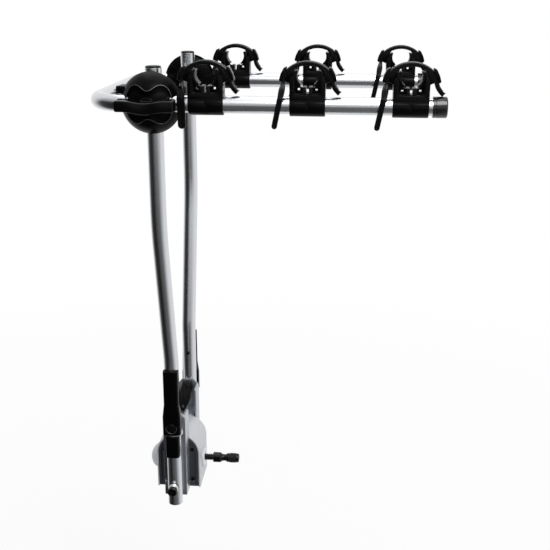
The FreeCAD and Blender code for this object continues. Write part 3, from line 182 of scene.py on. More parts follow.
class Graph:
    """A node tree of a material or the world, filled node by node."""

    sharpness = 8.0

    def __init__(self, tree: bpy.types.NodeTree) -> None:
        """Empties a tree.

        Args:
            tree: The tree to fill.
        """
        self.tree = tree
        tree.nodes.clear()

    def node(self, kind: str, settings: dict | None = None, inputs: object = None) -> bpy.types.Node:
        """Adds a node, sets it, then fills its sockets.

        Args:
            kind: The node's type.
            settings: Its properties.
            inputs: Values or links, by socket name in a dict or by order in a list.

        Returns:
            The node.
        """
        made = self.tree.nodes.new(kind)
        for name, value in (settings or {}).items():
            setattr(made, name, value)
        pairs = inputs.items() if isinstance(inputs, dict) else enumerate(inputs or [])
        for key, value in pairs:
            self.feed(made.inputs[key], value)
        return made

    def feed(self, socket: bpy.types.NodeSocket, value: object) -> None:
        """Links a value to a socket, or sets the socket to a plain number or colour.

        Args:
            socket: The socket.
            value: The value, output socket, number or colour.
        """
        if isinstance(value, Value):
            value = value.source
        if isinstance(value, bpy.types.NodeSocket):
            self.tree.links.new(value, socket)
        elif isinstance(value, (tuple, list)) and socket.type == "RGBA" and len(value) == 3:
            socket.default_value = (*value, 1.0)
        else:
            socket.default_value = value

    def out(self, node: bpy.types.Node, name: str) -> Value:
        """A node's output as a value."""
        return Value(self, node.outputs[name])

    def place(self) -> Value:
        """The point on the piece, in metres of the frame."""
        return self.out(self.node("ShaderNodeTexCoord"), "Object")

    def axis(self, index: int) -> Value:
        """One coordinate of the point on the piece."""
        split = self.node("ShaderNodeSeparateXYZ", None, [self.place()])
        return self.out(split, "XYZ"[index])

    def noise(self, scale: float, detail: float = 3.0, stretch: Sequence[float] = (1, 1, 1)) -> Value:
        """Smooth noise from 0 to 1.

        Args:
            scale: Features per metre.
            detail: Octaves.
            stretch: Factors on the three axes.

        Returns:
            The noise.
        """
        mapping = self.node("ShaderNodeMapping", None, {"Vector": self.place(), "Scale": tuple(stretch)})
        inputs = {"Vector": mapping.outputs[0], "Scale": scale, "Detail": detail}
        return self.out(self.node("ShaderNodeTexNoise", None, inputs), "Fac")

    def mix(self, factor: object, low: object, high: object) -> Value:
        """A colour between two colours.

        Args:
            factor: How much of the second colour, from 0 to 1.
            low: The colour at 0.
            high: The colour at 1.

        Returns:
            The mixed colour.
        """
        made = self.tree.nodes.new("ShaderNodeMix")
        made.data_type = "RGBA"
        colours = [s for s in made.inputs if s.type == "RGBA"]
        self.feed(made.inputs[0], factor)
        self.feed(colours[0], low)
        self.feed(colours[1], high)
        return Value(self, next(s for s in made.outputs if s.type == "RGBA"))

    def edges(self, radius: float) -> Value:
        """A normal that rounds the edges of the piece."""
        made = self.node("ShaderNodeBevel", {"samples": 4}, {"Radius": radius})
        return self.out(made, "Normal")

    def wear(self, radius: float) -> Value:
        """How sharp the piece is there, from 0 on a flat face to 1 on an edge.

        Args:
            radius: How far from an edge it still shows, in metres.

        Returns:
            The sharpness.
        """
        flat = self.node("ShaderNodeNewGeometry").outputs["Normal"]
        dot = self.node("ShaderNodeVectorMath", {"operation": "DOT_PRODUCT"}, [self.edges(radius), flat])
        return ((1.0 - self.out(dot, "Value")) * self.sharpness).clamped()

    def bump(self, height: Value, distance: float, normal: Value | None = None) -> Value:
        """A bumped normal.

        Args:
            height: The height, from 0 to 1.
            distance: The depth in metres at height 1.
            normal: The normal it starts from.

        Returns:
            The normal.
        """
        inputs = {"Height": height, "Distance": distance, "Strength": 1.0}
        if normal is not None:
            inputs["Normal"] = normal
        return self.out(self.node("ShaderNodeBump", None, inputs), "Normal")

    def surface(self, inputs: dict) -> None:
        """Ends a material's tree in a Principled shader."""
        shader = self.node("ShaderNodeBsdfPrincipled", None, inputs)
        self.node("ShaderNodeOutputMaterial", None, {"Surface": shader.outputs[0]})


def blank_material(name: str) -> tuple[bpy.types.Material, Graph]:
    """Makes a material with an empty tree.

    Args:
        name: The material's name.

    Returns:
        The material and the graph of its tree.
    """
    material = bpy.data.materials.new(name)
    material.use_nodes = True
    return material, Graph(material.node_tree)


@dataclass(frozen=True)
class Finish:
    """A finish: a name, a colour and the roughness it starts from."""

    name: str
    colour: tuple[float, float, float]
    roughness: float = 0.5

    def build(self) -> bpy.types.Material:
        """Makes the material.

        Returns:
            The material.
        """
        material, graph = blank_material(self.name)
        self.paint(graph)
        return material

    def paint(self, graph: Graph) -> None:
        """Fills the material's tree."""
        raise NotImplementedError

    def shade(self, factor: float) -> tuple[float, float, float]:
        """The finish's colour made lighter or darker."""
        return tuple(min(1.0, part * factor) for part in self.colour)


@dataclass(frozen=True)
class SilverPaint(Finish):
    """Metallic lacquer with fine flakes and a faint drawn grain along the tubes."""

    grain: tuple[float, float, float] = (1.0, 1.0, 0.05)

    def paint(self, graph: Graph) -> None:
        """Fills the material's tree.

        Args:
            graph: The graph of the empty tree.
        """
        cloud = graph.noise(14.0)
        flakes = graph.noise(5200.0, 1.0)
        streaks = graph.noise(900.0, 2.0, self.grain)
        colour = graph.mix(cloud * 0.35 + flakes * 0.25, self.shade(0.90), self.shade(1.08))
        rough = self.roughness + (streaks - 0.5) * 0.10 + (cloud - 0.5) * 0.08
        peel = graph.noise(650.0, 2.0)
        graph.surface({
            "Base Color": colour, "Metallic": 1.0, "Roughness": rough.clamped(),
            "Coat Weight": 0.12, "Coat Roughness": 0.12,
            "Normal": graph.bump(peel + flakes * 0.3, 0.00002, graph.edges(0.0006)),
        })


@dataclass(frozen=True)
class EnamelPaint(Finish):
    """Even paint on pressed steel, with orange peel and edges rubbed a little lighter."""

    metallic: float = 0.25

    def paint(self, graph: Graph) -> None:
        """Fills the material's tree.

        Args:
            graph: The graph of the empty tree.
        """
        cloud = graph.noise(18.0)
        worn = graph.wear(0.0012) * graph.noise(220.0)
        colour = graph.mix(cloud, self.shade(0.93), self.shade(1.04))
        colour = graph.mix(worn * 0.5, colour, self.shade(1.25))
        peel = graph.noise(520.0, 2.0)
        graph.surface({
            "Base Color": colour, "Metallic": self.metallic,
            "Roughness": (self.roughness + (cloud - 0.5) * 0.12).clamped(),
            "Coat Weight": 0.15, "Coat Roughness": 0.2,
            "Normal": graph.bump(peel, 0.00003, graph.edges(0.0009)),
        })


@dataclass(frozen=True)
class MouldedPlastic(Finish):
    """Black moulded plastic with a spark-eroded grain, and edges lightened by scuffs and a painted highlight.
    """

    grain: float = 2600.0
    depth: float = 0.00003
    specular: float = 0.35
    edge: float = 4.0

    def paint(self, graph: Graph) -> None:
        """Fills the material's tree.

        Args:
            graph: The graph of the empty tree.
        """
        grain = graph.noise(self.grain, 2.0)
        cloud = graph.noise(30.0)
        scuff_and_edge_highlight = graph.wear(0.0010) * graph.noise(400.0)
        colour = graph.mix(cloud, self.shade(0.75), self.shade(1.25))
        # Edges are mixed towards the colour times the edge factor: scuffs, and with the large factors of the
        # black finishes a painted highlight.
        colour = graph.mix(scuff_and_edge_highlight * 0.5, colour, self.shade(self.edge))
        graph.surface({
            "Base Color": colour,
            "Roughness": (self.roughness + (cloud - 0.5) * 0.16 + (grain - 0.5) * 0.1).clamped(),
            "Specular IOR Level": self.specular,
            "Normal": graph.bump(grain, self.depth, graph.edges(0.0007)),
        })


@dataclass(frozen=True)
class SoftRubber(Finish):
    """Black rubber with a bloom of dust and a soft sheen."""

    specular: float = 0.3

    def paint(self, graph: Graph) -> None:
        """Fills the material's tree.

        Args:
            graph: The graph of the empty tree.
        """
        bloom = graph.noise(55.0, 4.0)
        fine = graph.noise(3400.0, 2.0)
        colour = graph.mix((bloom - 0.35) * 1.4, self.shade(0.8), self.shade(1.6))
        graph.surface({
            "Base Color": colour,
            "Roughness": (self.roughness + (bloom - 0.5) * 0.2).clamped(),
            "Specular IOR Level": self.specular,
            "Normal": graph.bump(fine, 0.00002, graph.edges(0.0005)),
        })


@dataclass(frozen=True)
class BareMetal(Finish):
    """Plated or turned metal with fine scratches round the piece."""

    stretch: tuple[float, float, float] = (1.0, 0.1, 1.0)

    def paint(self, graph: Graph) -> None:
        """Fills the material's tree.

        Args:
            graph: The graph of the empty tree.
        """
        scratches = graph.noise(1800.0, 2.0, self.stretch)
        cloud = graph.noise(60.0)
        colour = graph.mix(cloud, self.shade(0.8), self.shade(1.1))
        graph.surface({
            "Base Color": colour, "Metallic": 1.0,
            "Roughness": (self.roughness + (scratches - 0.5) * 0.25).clamped(),
            "Normal": graph.bump(scratches, 0.00001, graph.edges(0.0005)),
        })


@dataclass(frozen=True)
class CastIron(Finish):
    """A rough casting with a dark skin."""

    def paint(self, graph: Graph) -> None:
        """Fills the material's tree.

        Args:
            graph: The graph of the empty tree.
        """
        sand = graph.noise(900.0, 5.0)
        cloud = graph.noise(45.0)
        colour = graph.mix(cloud * 0.6 + sand * 0.4, self.shade(0.7), self.shade(1.3))
        graph.surface({
            "Base Color": colour, "Metallic": 0.7,
            "Roughness": (self.roughness + (sand - 0.5) * 0.3).clamped(),
            "Normal": graph.bump(sand, 0.00015, graph.edges(0.0008)),
        })


@dataclass(frozen=True)
class Webbing(Finish):
    """Woven webbing: ribs along the strap with threads across them, and the rib crests painted lighter as
    highlights.
    """

    pitch: float = 3.4 * MM
    slant: float = 0.182
    crest: float = 8.69 * MM
    thread: float = 0.3

    def paint(self, graph: Graph) -> None:
        """Fills the material's tree.

        Args:
            graph: The graph of the empty tree.
        """
        along = graph.axis(2) * math.cos(self.slant) + graph.axis(0) * math.sin(self.slant)
        across = graph.axis(0) * math.cos(self.slant) - graph.axis(2) * math.sin(self.slant)
        start = self.crest - self.pitch / 4
        rib = (((across - start) * (2 * math.pi / self.pitch)).sine() + 1.0) * 0.5
        thread = ((along * (2 * math.pi / (self.thread * self.pitch))).sine() + 1.0) * 0.5
        weave = rib ** 2.0 * 0.8 + thread * 0.2
        # The crests are many times lighter than the hollows: a painted highlight on the ribs, with the
        # threads' pattern.
        colour = graph.mix(weave, self.shade(0.3), self.shade(9.0))
        graph.surface({
            "Base Color": colour, "Roughness": (self.roughness + weave * 0.1).clamped(),
            "Specular IOR Level": 0.3, "Normal": graph.bump(weave, 0.0003),
        })


FINISHES: dict[str, Finish] = {
    "tube": SilverPaint("silver_lacquer", (0.66, 0.675, 0.70), 0.22),
    "steel": EnamelPaint("pale_enamel", (0.53, 0.54, 0.565), 0.45, 0.1),
    "bracket": EnamelPaint("bracket_enamel", (0.42, 0.44, 0.48), 0.36, 1.0),
    # A black plastic with a base colour about ten times lighter than the other blacks, for thin beads, rails,
    # lips and rims: real gloss, with their highlights painted by the lighter colour.
    "lit_gloss": MouldedPlastic("polished_edge", (0.016, 0.017, 0.019), 0.20, 2600.0, 0.000005, 1.0),
    "plate": EnamelPaint("dark_enamel", (0.042, 0.047, 0.057), 0.34, 0.1),
    # The last number of each black plastic lightens its edges that many times: a painted highlight along
    # them, with scuffs.
    "dark": MouldedPlastic("cradle_plastic", (0.0012, 0.0012, 0.0014), 0.24, 2600.0, 0.00002, 0.10, 60.0),
    "cover": MouldedPlastic("cover_plastic", (0.0014, 0.0014, 0.0016), 0.28, 3000.0, 0.00001, 0.05, 30.0),
    "knob": MouldedPlastic("knob_plastic", (0.0014, 0.0014, 0.0016), 0.14, 2200.0, 0.000006, 0.22, 80.0),
    "rubber": SoftRubber("strap_rubber", (0.0012, 0.0012, 0.0014), 0.24, 0.15),
    "pad": SoftRubber("pad_rubber", (0.0026, 0.0027, 0.0030), 0.32, 0.12),
    "cap": SoftRubber("cap_rubber", (0.0010, 0.0010, 0.0012), 0.11, 0.7),
    "zinc": BareMetal("zinc_plate", (0.60, 0.61, 0.62), 0.28),
    # Near white: a painted highlight for the bright face of the housing's boss.
    "washer": EnamelPaint("white_washer", (0.80, 0.80, 0.81), 0.35, 0.0),
    "wire": BareMetal("spring_wire", (0.86, 0.87, 0.88), 0.30),
    "liner": MouldedPlastic("socket_liner", (0.02, 0.02, 0.021), 0.3),
    "jaw": CastIron("cast_jaw", (0.10, 0.10, 0.105), 0.55),
    "webbing": Webbing("woven_webbing", (0.0040, 0.0037, 0.0033), 0.42),
    # Its edges are lightened sixty times too: a painted highlight along them, with scuffs.
    "black_steel": MouldedPlastic(
        "blacked_steel", (0.0014, 0.0014, 0.0016), 0.13, 1800.0, 0.000008, 0.26, 60.0,
    ),
}


class Palette:
    """Builds each finish once."""

    def __init__(self) -> None:
        """Starts with no materials."""
        self.made: dict[str, bpy.types.Material] = {}

    def __getitem__(self, slot: str) -> bpy.types.Material:
        """The material of a slot or a special finish.

        Args:
            slot: Its name in FINISHES.

        Returns:
            The material.
        """
        if slot not in self.made:
            self.made[slot] = FINISHES[slot].build()
        return self.made[slot]


def linked(name: str, data: bpy.types.ID) -> bpy.types.Object:
    """Makes an object and links it to the scene.

    Args:
        name: The object's name.
        data: Its mesh, curve, lamp or camera.

    Returns:
        The object.
    """
    thing = bpy.data.objects.new(name, data)
    bpy.context.scene.collection.objects.link(thing)
    return thing


def settled(form: bmesh.types.BMesh, name: str) -> bpy.types.Mesh:
    """Turns an edited form into a mesh, and frees the form.

    Args:
        form: The form.
        name: The mesh's name.

    Returns:
        The mesh.
    """
    mesh = bpy.data.meshes.new(name)
    form.to_mesh(mesh)
    form.free()
    return mesh


def baked(thing: bpy.types.Object) -> bpy.types.Mesh:
    """Applies an object's modifiers and takes the object away.

    Args:
        thing: The object.

    Returns:
        The finished mesh.
    """
    graph = bpy.context.evaluated_depsgraph_get()
    mesh = bpy.data.meshes.new_from_object(thing.evaluated_get(graph))
    old = thing.data
    bpy.data.objects.remove(thing)
    if isinstance(old, bpy.types.Mesh) and old.users == 0:
        bpy.data.meshes.remove(old)
    return mesh


def rounded(mesh: bpy.types.Mesh, width: float, segments: int = 2) -> bpy.types.Mesh:
    """Rounds the sharper edges of a mesh.

    Args:
        mesh: The mesh.
        width: The width of the rounding in metres.
        segments: Faces across it.

    Returns:
        The rounded mesh.
    """
    thing = linked("blank", mesh)
    bevel = thing.modifiers.new("rounding", "BEVEL")
    bevel.width = width
    bevel.segments = segments
    bevel.limit_method = "ANGLE"
    bevel.angle_limit = ROUNDING_ANGLE
    bevel.use_clamp_overlap = False
    bevel.miter_outer = "MITER_ARC"
    return baked(thing)


def merged(*meshes: bpy.types.Mesh) -> bpy.types.Mesh:
    """Puts several meshes in one, which has no material yet.

    Args:
        meshes: The meshes, which are taken away.

    Returns:
        The one mesh.
    """
    form = bmesh.new()
    for mesh in meshes:
        form.from_mesh(mesh)
        bpy.data.meshes.remove(mesh)
    result = settled(form, "joined")
    result.materials.clear()
    return result


def moved(mesh: bpy.types.Mesh, shift: Sequence[float], turn: Matrix | None = None) -> bpy.types.Mesh:
    """Turns a mesh about the origin, then shifts it."""
    mesh.transform(Matrix.Translation(Vector(shift)) @ (turn.to_4x4() if turn else Matrix.Identity(4)))
    return mesh


def mirrored(mesh: bpy.types.Mesh, axis: Sequence[float]) -> bpy.types.Mesh:
    """Mirrors a mesh through the origin along an axis, and keeps its faces outwards.

    Args:
        mesh: The mesh.
        axis: The axis, such as ACROSS or UP.

    Returns:
        The same mesh.
    """
    mesh.transform(Matrix.Scale(-1, 4, axis))
    mesh.flip_normals()
    return mesh


def outwards(mesh: bpy.types.Mesh, side: Side, x: float, z: float) -> bpy.types.Mesh:
    """Turns a form made along X to point outwards on a side, then sets it at a place on that side."""
    return moved(mesh, (x, 0, z), Matrix.Rotation(RIGHT_ANGLE * side.value, 3, "Z"))


def spot(x: float, z: float, y: float = 0.0) -> Vector:
    """A point, in the plane of X and Z unless it says how far beside that."""
    return Vector((x, y, z))


def circle(count: int) -> list[float]:
    """The angles of points spread evenly round a circle."""
    return [2 * math.pi * step / count for step in range(count)]


def held(number: float) -> float:
    """A number held between 0 and 1."""
    return min(1.0, max(0.0, number))


def eased(part: float) -> float:
    """A part of a way from 0 to 1, slow at both ends."""
    return part * part * (3 - 2 * part)


def between(place: float, table: Sequence[tuple[float, float]]) -> float:
    """Reads a value from a table of places and values, evenly between its rows.

    Args:
        place: The place.
        table: The rows, by rising place.

    Returns:
        The value.
    """
    for (low, start), (high, end) in zip(table, table[1:]):
        if place <= high:
            return start + (end - start) * max(0.0, place - low) / (high - low)
    return table[-1][1]


def swept(sections: Sequence[Sequence[Vector]], closed: bool = False) -> bpy.types.Mesh:
    """Joins rings of points into a skin with capped ends.

    Args:
        sections: The rings, each with the same number of points.
        closed: True where the last ring joins the first.

    Returns:
        The mesh.
    """
    form = bmesh.new()
    rings = [[form.verts.new(point) for point in ring] for ring in sections]
    pairs = list(zip(rings, rings[1:]))
    if closed:
        pairs.append((rings[-1], rings[0]))
    for one, two in pairs:
        for index in range(len(one)):
            after = (index + 1) % len(one)
            form.faces.new((one[index], one[after], two[after], two[index]))
    if not closed:
        form.faces.new(list(reversed(rings[0])))
        form.faces.new(rings[-1])
    bmesh.ops.recalc_face_normals(form, faces=form.faces)
    return settled(form, "sweep")


def rounded_box_ring(centre: Vector, across: Vector, deep: Vector, corner: float, steps: int) -> list[Vector]:
    """The points of a rounded rectangle.

    Args:
        centre: Its centre.
        across: Half its width, as a vector.
        deep: Half its depth, as a vector.
        corner: The corner's radius.
        steps: Points on each corner, less one.

    Returns:
        The points, in order.
    """
    wide, tall = across.length, deep.length
    corner = min(corner, CORNER_LIMIT * wide, CORNER_LIMIT * tall)
    along, up = across.normalized(), deep.normalized()
    ring = []
    for quarter, (sx, sy) in enumerate(((1, 1), (-1, 1), (-1, -1), (1, -1))):
        for step in range(steps + 1):
            angle = RIGHT_ANGLE * (quarter + step / steps)
            x = sx * (wide - corner) + corner * math.cos(angle)
            y = sy * (tall - corner) + corner * math.sin(angle)
            ring.append(centre + along * x + up * y)
    return ring


def banded(stations: Iterable[Station], corner: float, steps: int = 3) -> bpy.types.Mesh:
    """A band whose section is a rounded rectangle.

    Args:
        stations: For each station the centre, half the width and half the thickness.
        corner: The radius of its long edges.
        steps: Faces across each of those.

    Returns:
        The mesh.
    """
    return swept([rounded_box_ring(*station, corner, steps) for station in stations])


def wire(points: Sequence[Vector], radius: float, sides: int = 10) -> bpy.types.Mesh:
    """A round bead along a line that isn't parallel to Y.

    Args:
        points: The points of the line.
        radius: The bead's radius.
        sides: Faces round it.

    Returns:
        The mesh.
    """
    rings = []
    for index, point in enumerate(points):
        along = (points[min(index + 1, len(points) - 1)] - points[max(index - 1, 0)]).normalized()
        side = along.cross(Vector(ACROSS)).normalized()
        rise = side.cross(along)
        rings.append([point + (side * math.cos(a) + rise * math.sin(a)) * radius for a in circle(sides)])
    return swept(rings)


def lathe(points: Sequence[tuple[float, float]], steps: int = 72) -> bpy.types.Mesh:
    """Turns an open outline round the X axis.

    Args:
        points: Distance along X and radius; the first and last may lie on the axis.
        steps: Faces round.

    Returns:
        The mesh.
    """
    form = bmesh.new()
    verts = [form.verts.new((x, 0.0, r)) for x, r in points]
    edges = [form.edges.new(pair) for pair in zip(verts, verts[1:])]
    bmesh.ops.spin(form, geom=verts + edges, cent=(0, 0, 0), axis=(1, 0, 0), angle=2 * math.pi, steps=steps,
                   use_merge=True, use_duplicate=False)
    bmesh.ops.remove_doubles(form, verts=form.verts, dist=SAME_POINT / 2)
    bmesh.ops.recalc_face_normals(form, faces=form.faces)
    return settled(form, "turned")


def prism(outline: Sequence[tuple[float, float]], half: float, middle: float = 0.0) -> bpy.types.Mesh:
    """A plate with a flat outline in X and Z.

    Args:
        outline: The outline's points in millimetres.
        half: Half the plate's thickness in metres.
        middle: Where its middle lies on Y, in metres.

    Returns:
        The mesh.
    """
    return swept([[spot(x * MM, z * MM, middle + y) for x, z in outline] for y in (-half, half)])


class Repeater:
    """A Geometry Nodes tree that sets a small block with soft edges many times along a path."""

    crease = 0.75
    inputs = (("Path", "Geometry"), ("Count", "Int"), ("Size", "Vector"), ("Finish", "Material"))
    nodes = (
        ("given", "NodeGroupInput"), ("curve", "GeometryNodeMeshToCurve"),
        ("points", "GeometryNodeCurveToPoints"), ("block", "GeometryNodeMeshCube"),
        ("rounding", "GeometryNodeSubdivisionSurface"), ("placed", "GeometryNodeInstanceOnPoints"),
        ("real", "GeometryNodeRealizeInstances"), ("finish", "GeometryNodeSetMaterial"),
        ("result", "NodeGroupOutput"),
    )
    links = (
        ("given", "Path", "curve", "Mesh"), ("curve", "Curve", "points", "Curve"),
        ("given", "Count", "points", "Count"), ("given", "Size", "block", "Size"),
        ("block", "Mesh", "rounding", "Mesh"), ("points", "Points", "placed", "Points"),
        ("points", "Rotation", "placed", "Rotation"), ("rounding", "Mesh", "placed", "Instance"),
        ("placed", "Instances", "real", "Geometry"), ("real", "Geometry", "finish", "Geometry"),
        ("given", "Finish", "finish", "Material"), ("finish", "Geometry", "result", "Geometry"),
    )

    def __init__(self, name: str) -> None:
        """Makes the tree, with inputs for the path, the number of blocks, their size and their finish.

        Args:
            name: The tree's name.
        """
        tree = bpy.data.node_groups.new(name, "GeometryNodeTree")
        for label, kind in self.inputs:
            tree.interface.new_socket(label, in_out="INPUT", socket_type=f"NodeSocket{kind}")
        tree.interface.new_socket("Geometry", in_out="OUTPUT", socket_type="NodeSocketGeometry")
        made = {label: tree.nodes.new(kind) for label, kind in self.nodes}
        made["rounding"].inputs["Level"].default_value = 1
        made["rounding"].inputs["Edge Crease"].default_value = self.crease
        for start, output, end, socket in self.links:
            tree.links.new(made[start].outputs[output], made[end].inputs[socket])
        self.tree = tree

    def along(
        self, path: Sequence[Vector], count: int, size: Sequence[float], finish: bpy.types.Material,
    ) -> bpy.types.Mesh:
        """Sets the block along a path.

        Args:
            path: The points of the path.
            count: How many blocks.
            size: The block's size across, deep and along.
            finish: Its material.

        Returns:
            The mesh of all the blocks.
        """
        mesh = bpy.data.meshes.new("path")
        mesh.from_pydata([tuple(point) for point in path], [(i, i + 1) for i in range(len(path) - 1)], [])
        thing = linked("path", mesh)
        modifier = thing.modifiers.new("repeat", "NODES")
        modifier.node_group = self.tree
        sockets = [item for item in self.tree.interface.items_tree if item.in_out == "INPUT"]
        named = {item.name: item.identifier for item in sockets}
        modifier[named["Count"]] = count
        modifier[named["Size"]] = tuple(size)
        modifier[named["Finish"]] = finish
        return baked(thing)


@dataclass
class Workshop:
    """What every sub-assembly works with: the frame, the finishes and ways to make pieces."""

    frame: dict
    palette: Palette = field(default_factory=Palette)

    def __post_init__(self) -> None:
        """Reads the record's slots and bodies, and makes the tree for teeth and ribs."""
        record = self.frame["record"]
        bodies = record["behaviour"]["bodies"]
        self.slot_of = {part["node"]: part["material_slot"] for part in record["subparts"]}
        self.body_of = {node: body for body, nodes in bodies.items() for node in nodes}
        self.repeater = Repeater("teeth")

    def dress_nodes(self) -> None:
        """Gives each node of the frame its finish."""
        for name, thing in self.frame["nodes"].items():
            if not thing.material_slots:
                thing.data.materials.append(None)
            for slot in thing.material_slots:
                slot.material = self.palette[self.slot_of[name]]

    def add(self, name: str, mesh: bpy.types.Mesh, body: str | None, slot: str, finish: str | None = None,
            replaces: Iterable[str] = (), sharp: float = 35.0) -> bpy.types.Object:
        """Makes a piece from a mesh.

        Args:
            name: The piece's name.
            mesh: Its mesh, in the frame's metres.
            body: The body that it rides on, or None to leave it on no body.
            slot: The record's slot that its finish belongs to.
            finish: The finish, where it isn't the slot's own.
            replaces: The nodes that it stands for.
            sharp: The angle in degrees over which an edge stays sharp.

        Returns:
            The piece.
        """
        mesh.name = name
        thing = linked(name, mesh)
        mesh.polygons.foreach_set("use_smooth", [True] * len(mesh.polygons))
        mesh.set_sharp_from_angle(angle=math.radians(sharp))
        if not mesh.materials:
            mesh.materials.append(self.palette[finish or slot])
        if body:
            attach(thing, body)
        nodes = list(replaces)
        if nodes:
            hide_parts(*nodes)
        LOG.info("%s: %d faces", name, len(mesh.polygons))
        return thing

    def copied(self, node: str) -> bpy.types.Mesh:
        """A clean copy of a node's mesh, with its loose triangles merged into larger faces.

        Args:
            node: The node.

        Returns:
            The copy.
        """
        form = bmesh.new()
        form.from_mesh(self.frame["nodes"][node].data)
        bmesh.ops.remove_doubles(form, verts=form.verts, dist=SAME_POINT)
        bmesh.ops.dissolve_limit(form, angle_limit=FLAT_ANGLE, verts=form.verts, edges=form.edges)
        return settled(form, node)

    def softened(self, node: str, width: float, segments: int = 2, finish: str | None = None) -> None:
        """Replaces a node by a copy of itself with rounded edges."""
        mesh = rounded(self.copied(node), width, segments)
        self.add(f"{node}_skin", mesh, self.body_of[node], self.slot_of[node], finish, replaces=[node])

    def teeth(self, path: Sequence[Vector], count: int, size: Sequence[float], slot: str) -> bpy.types.Mesh:
        """Small blocks along a path, such as teeth or ribs, in the finish of a slot."""
        return self.repeater.along(path, count, size, self.palette[slot])


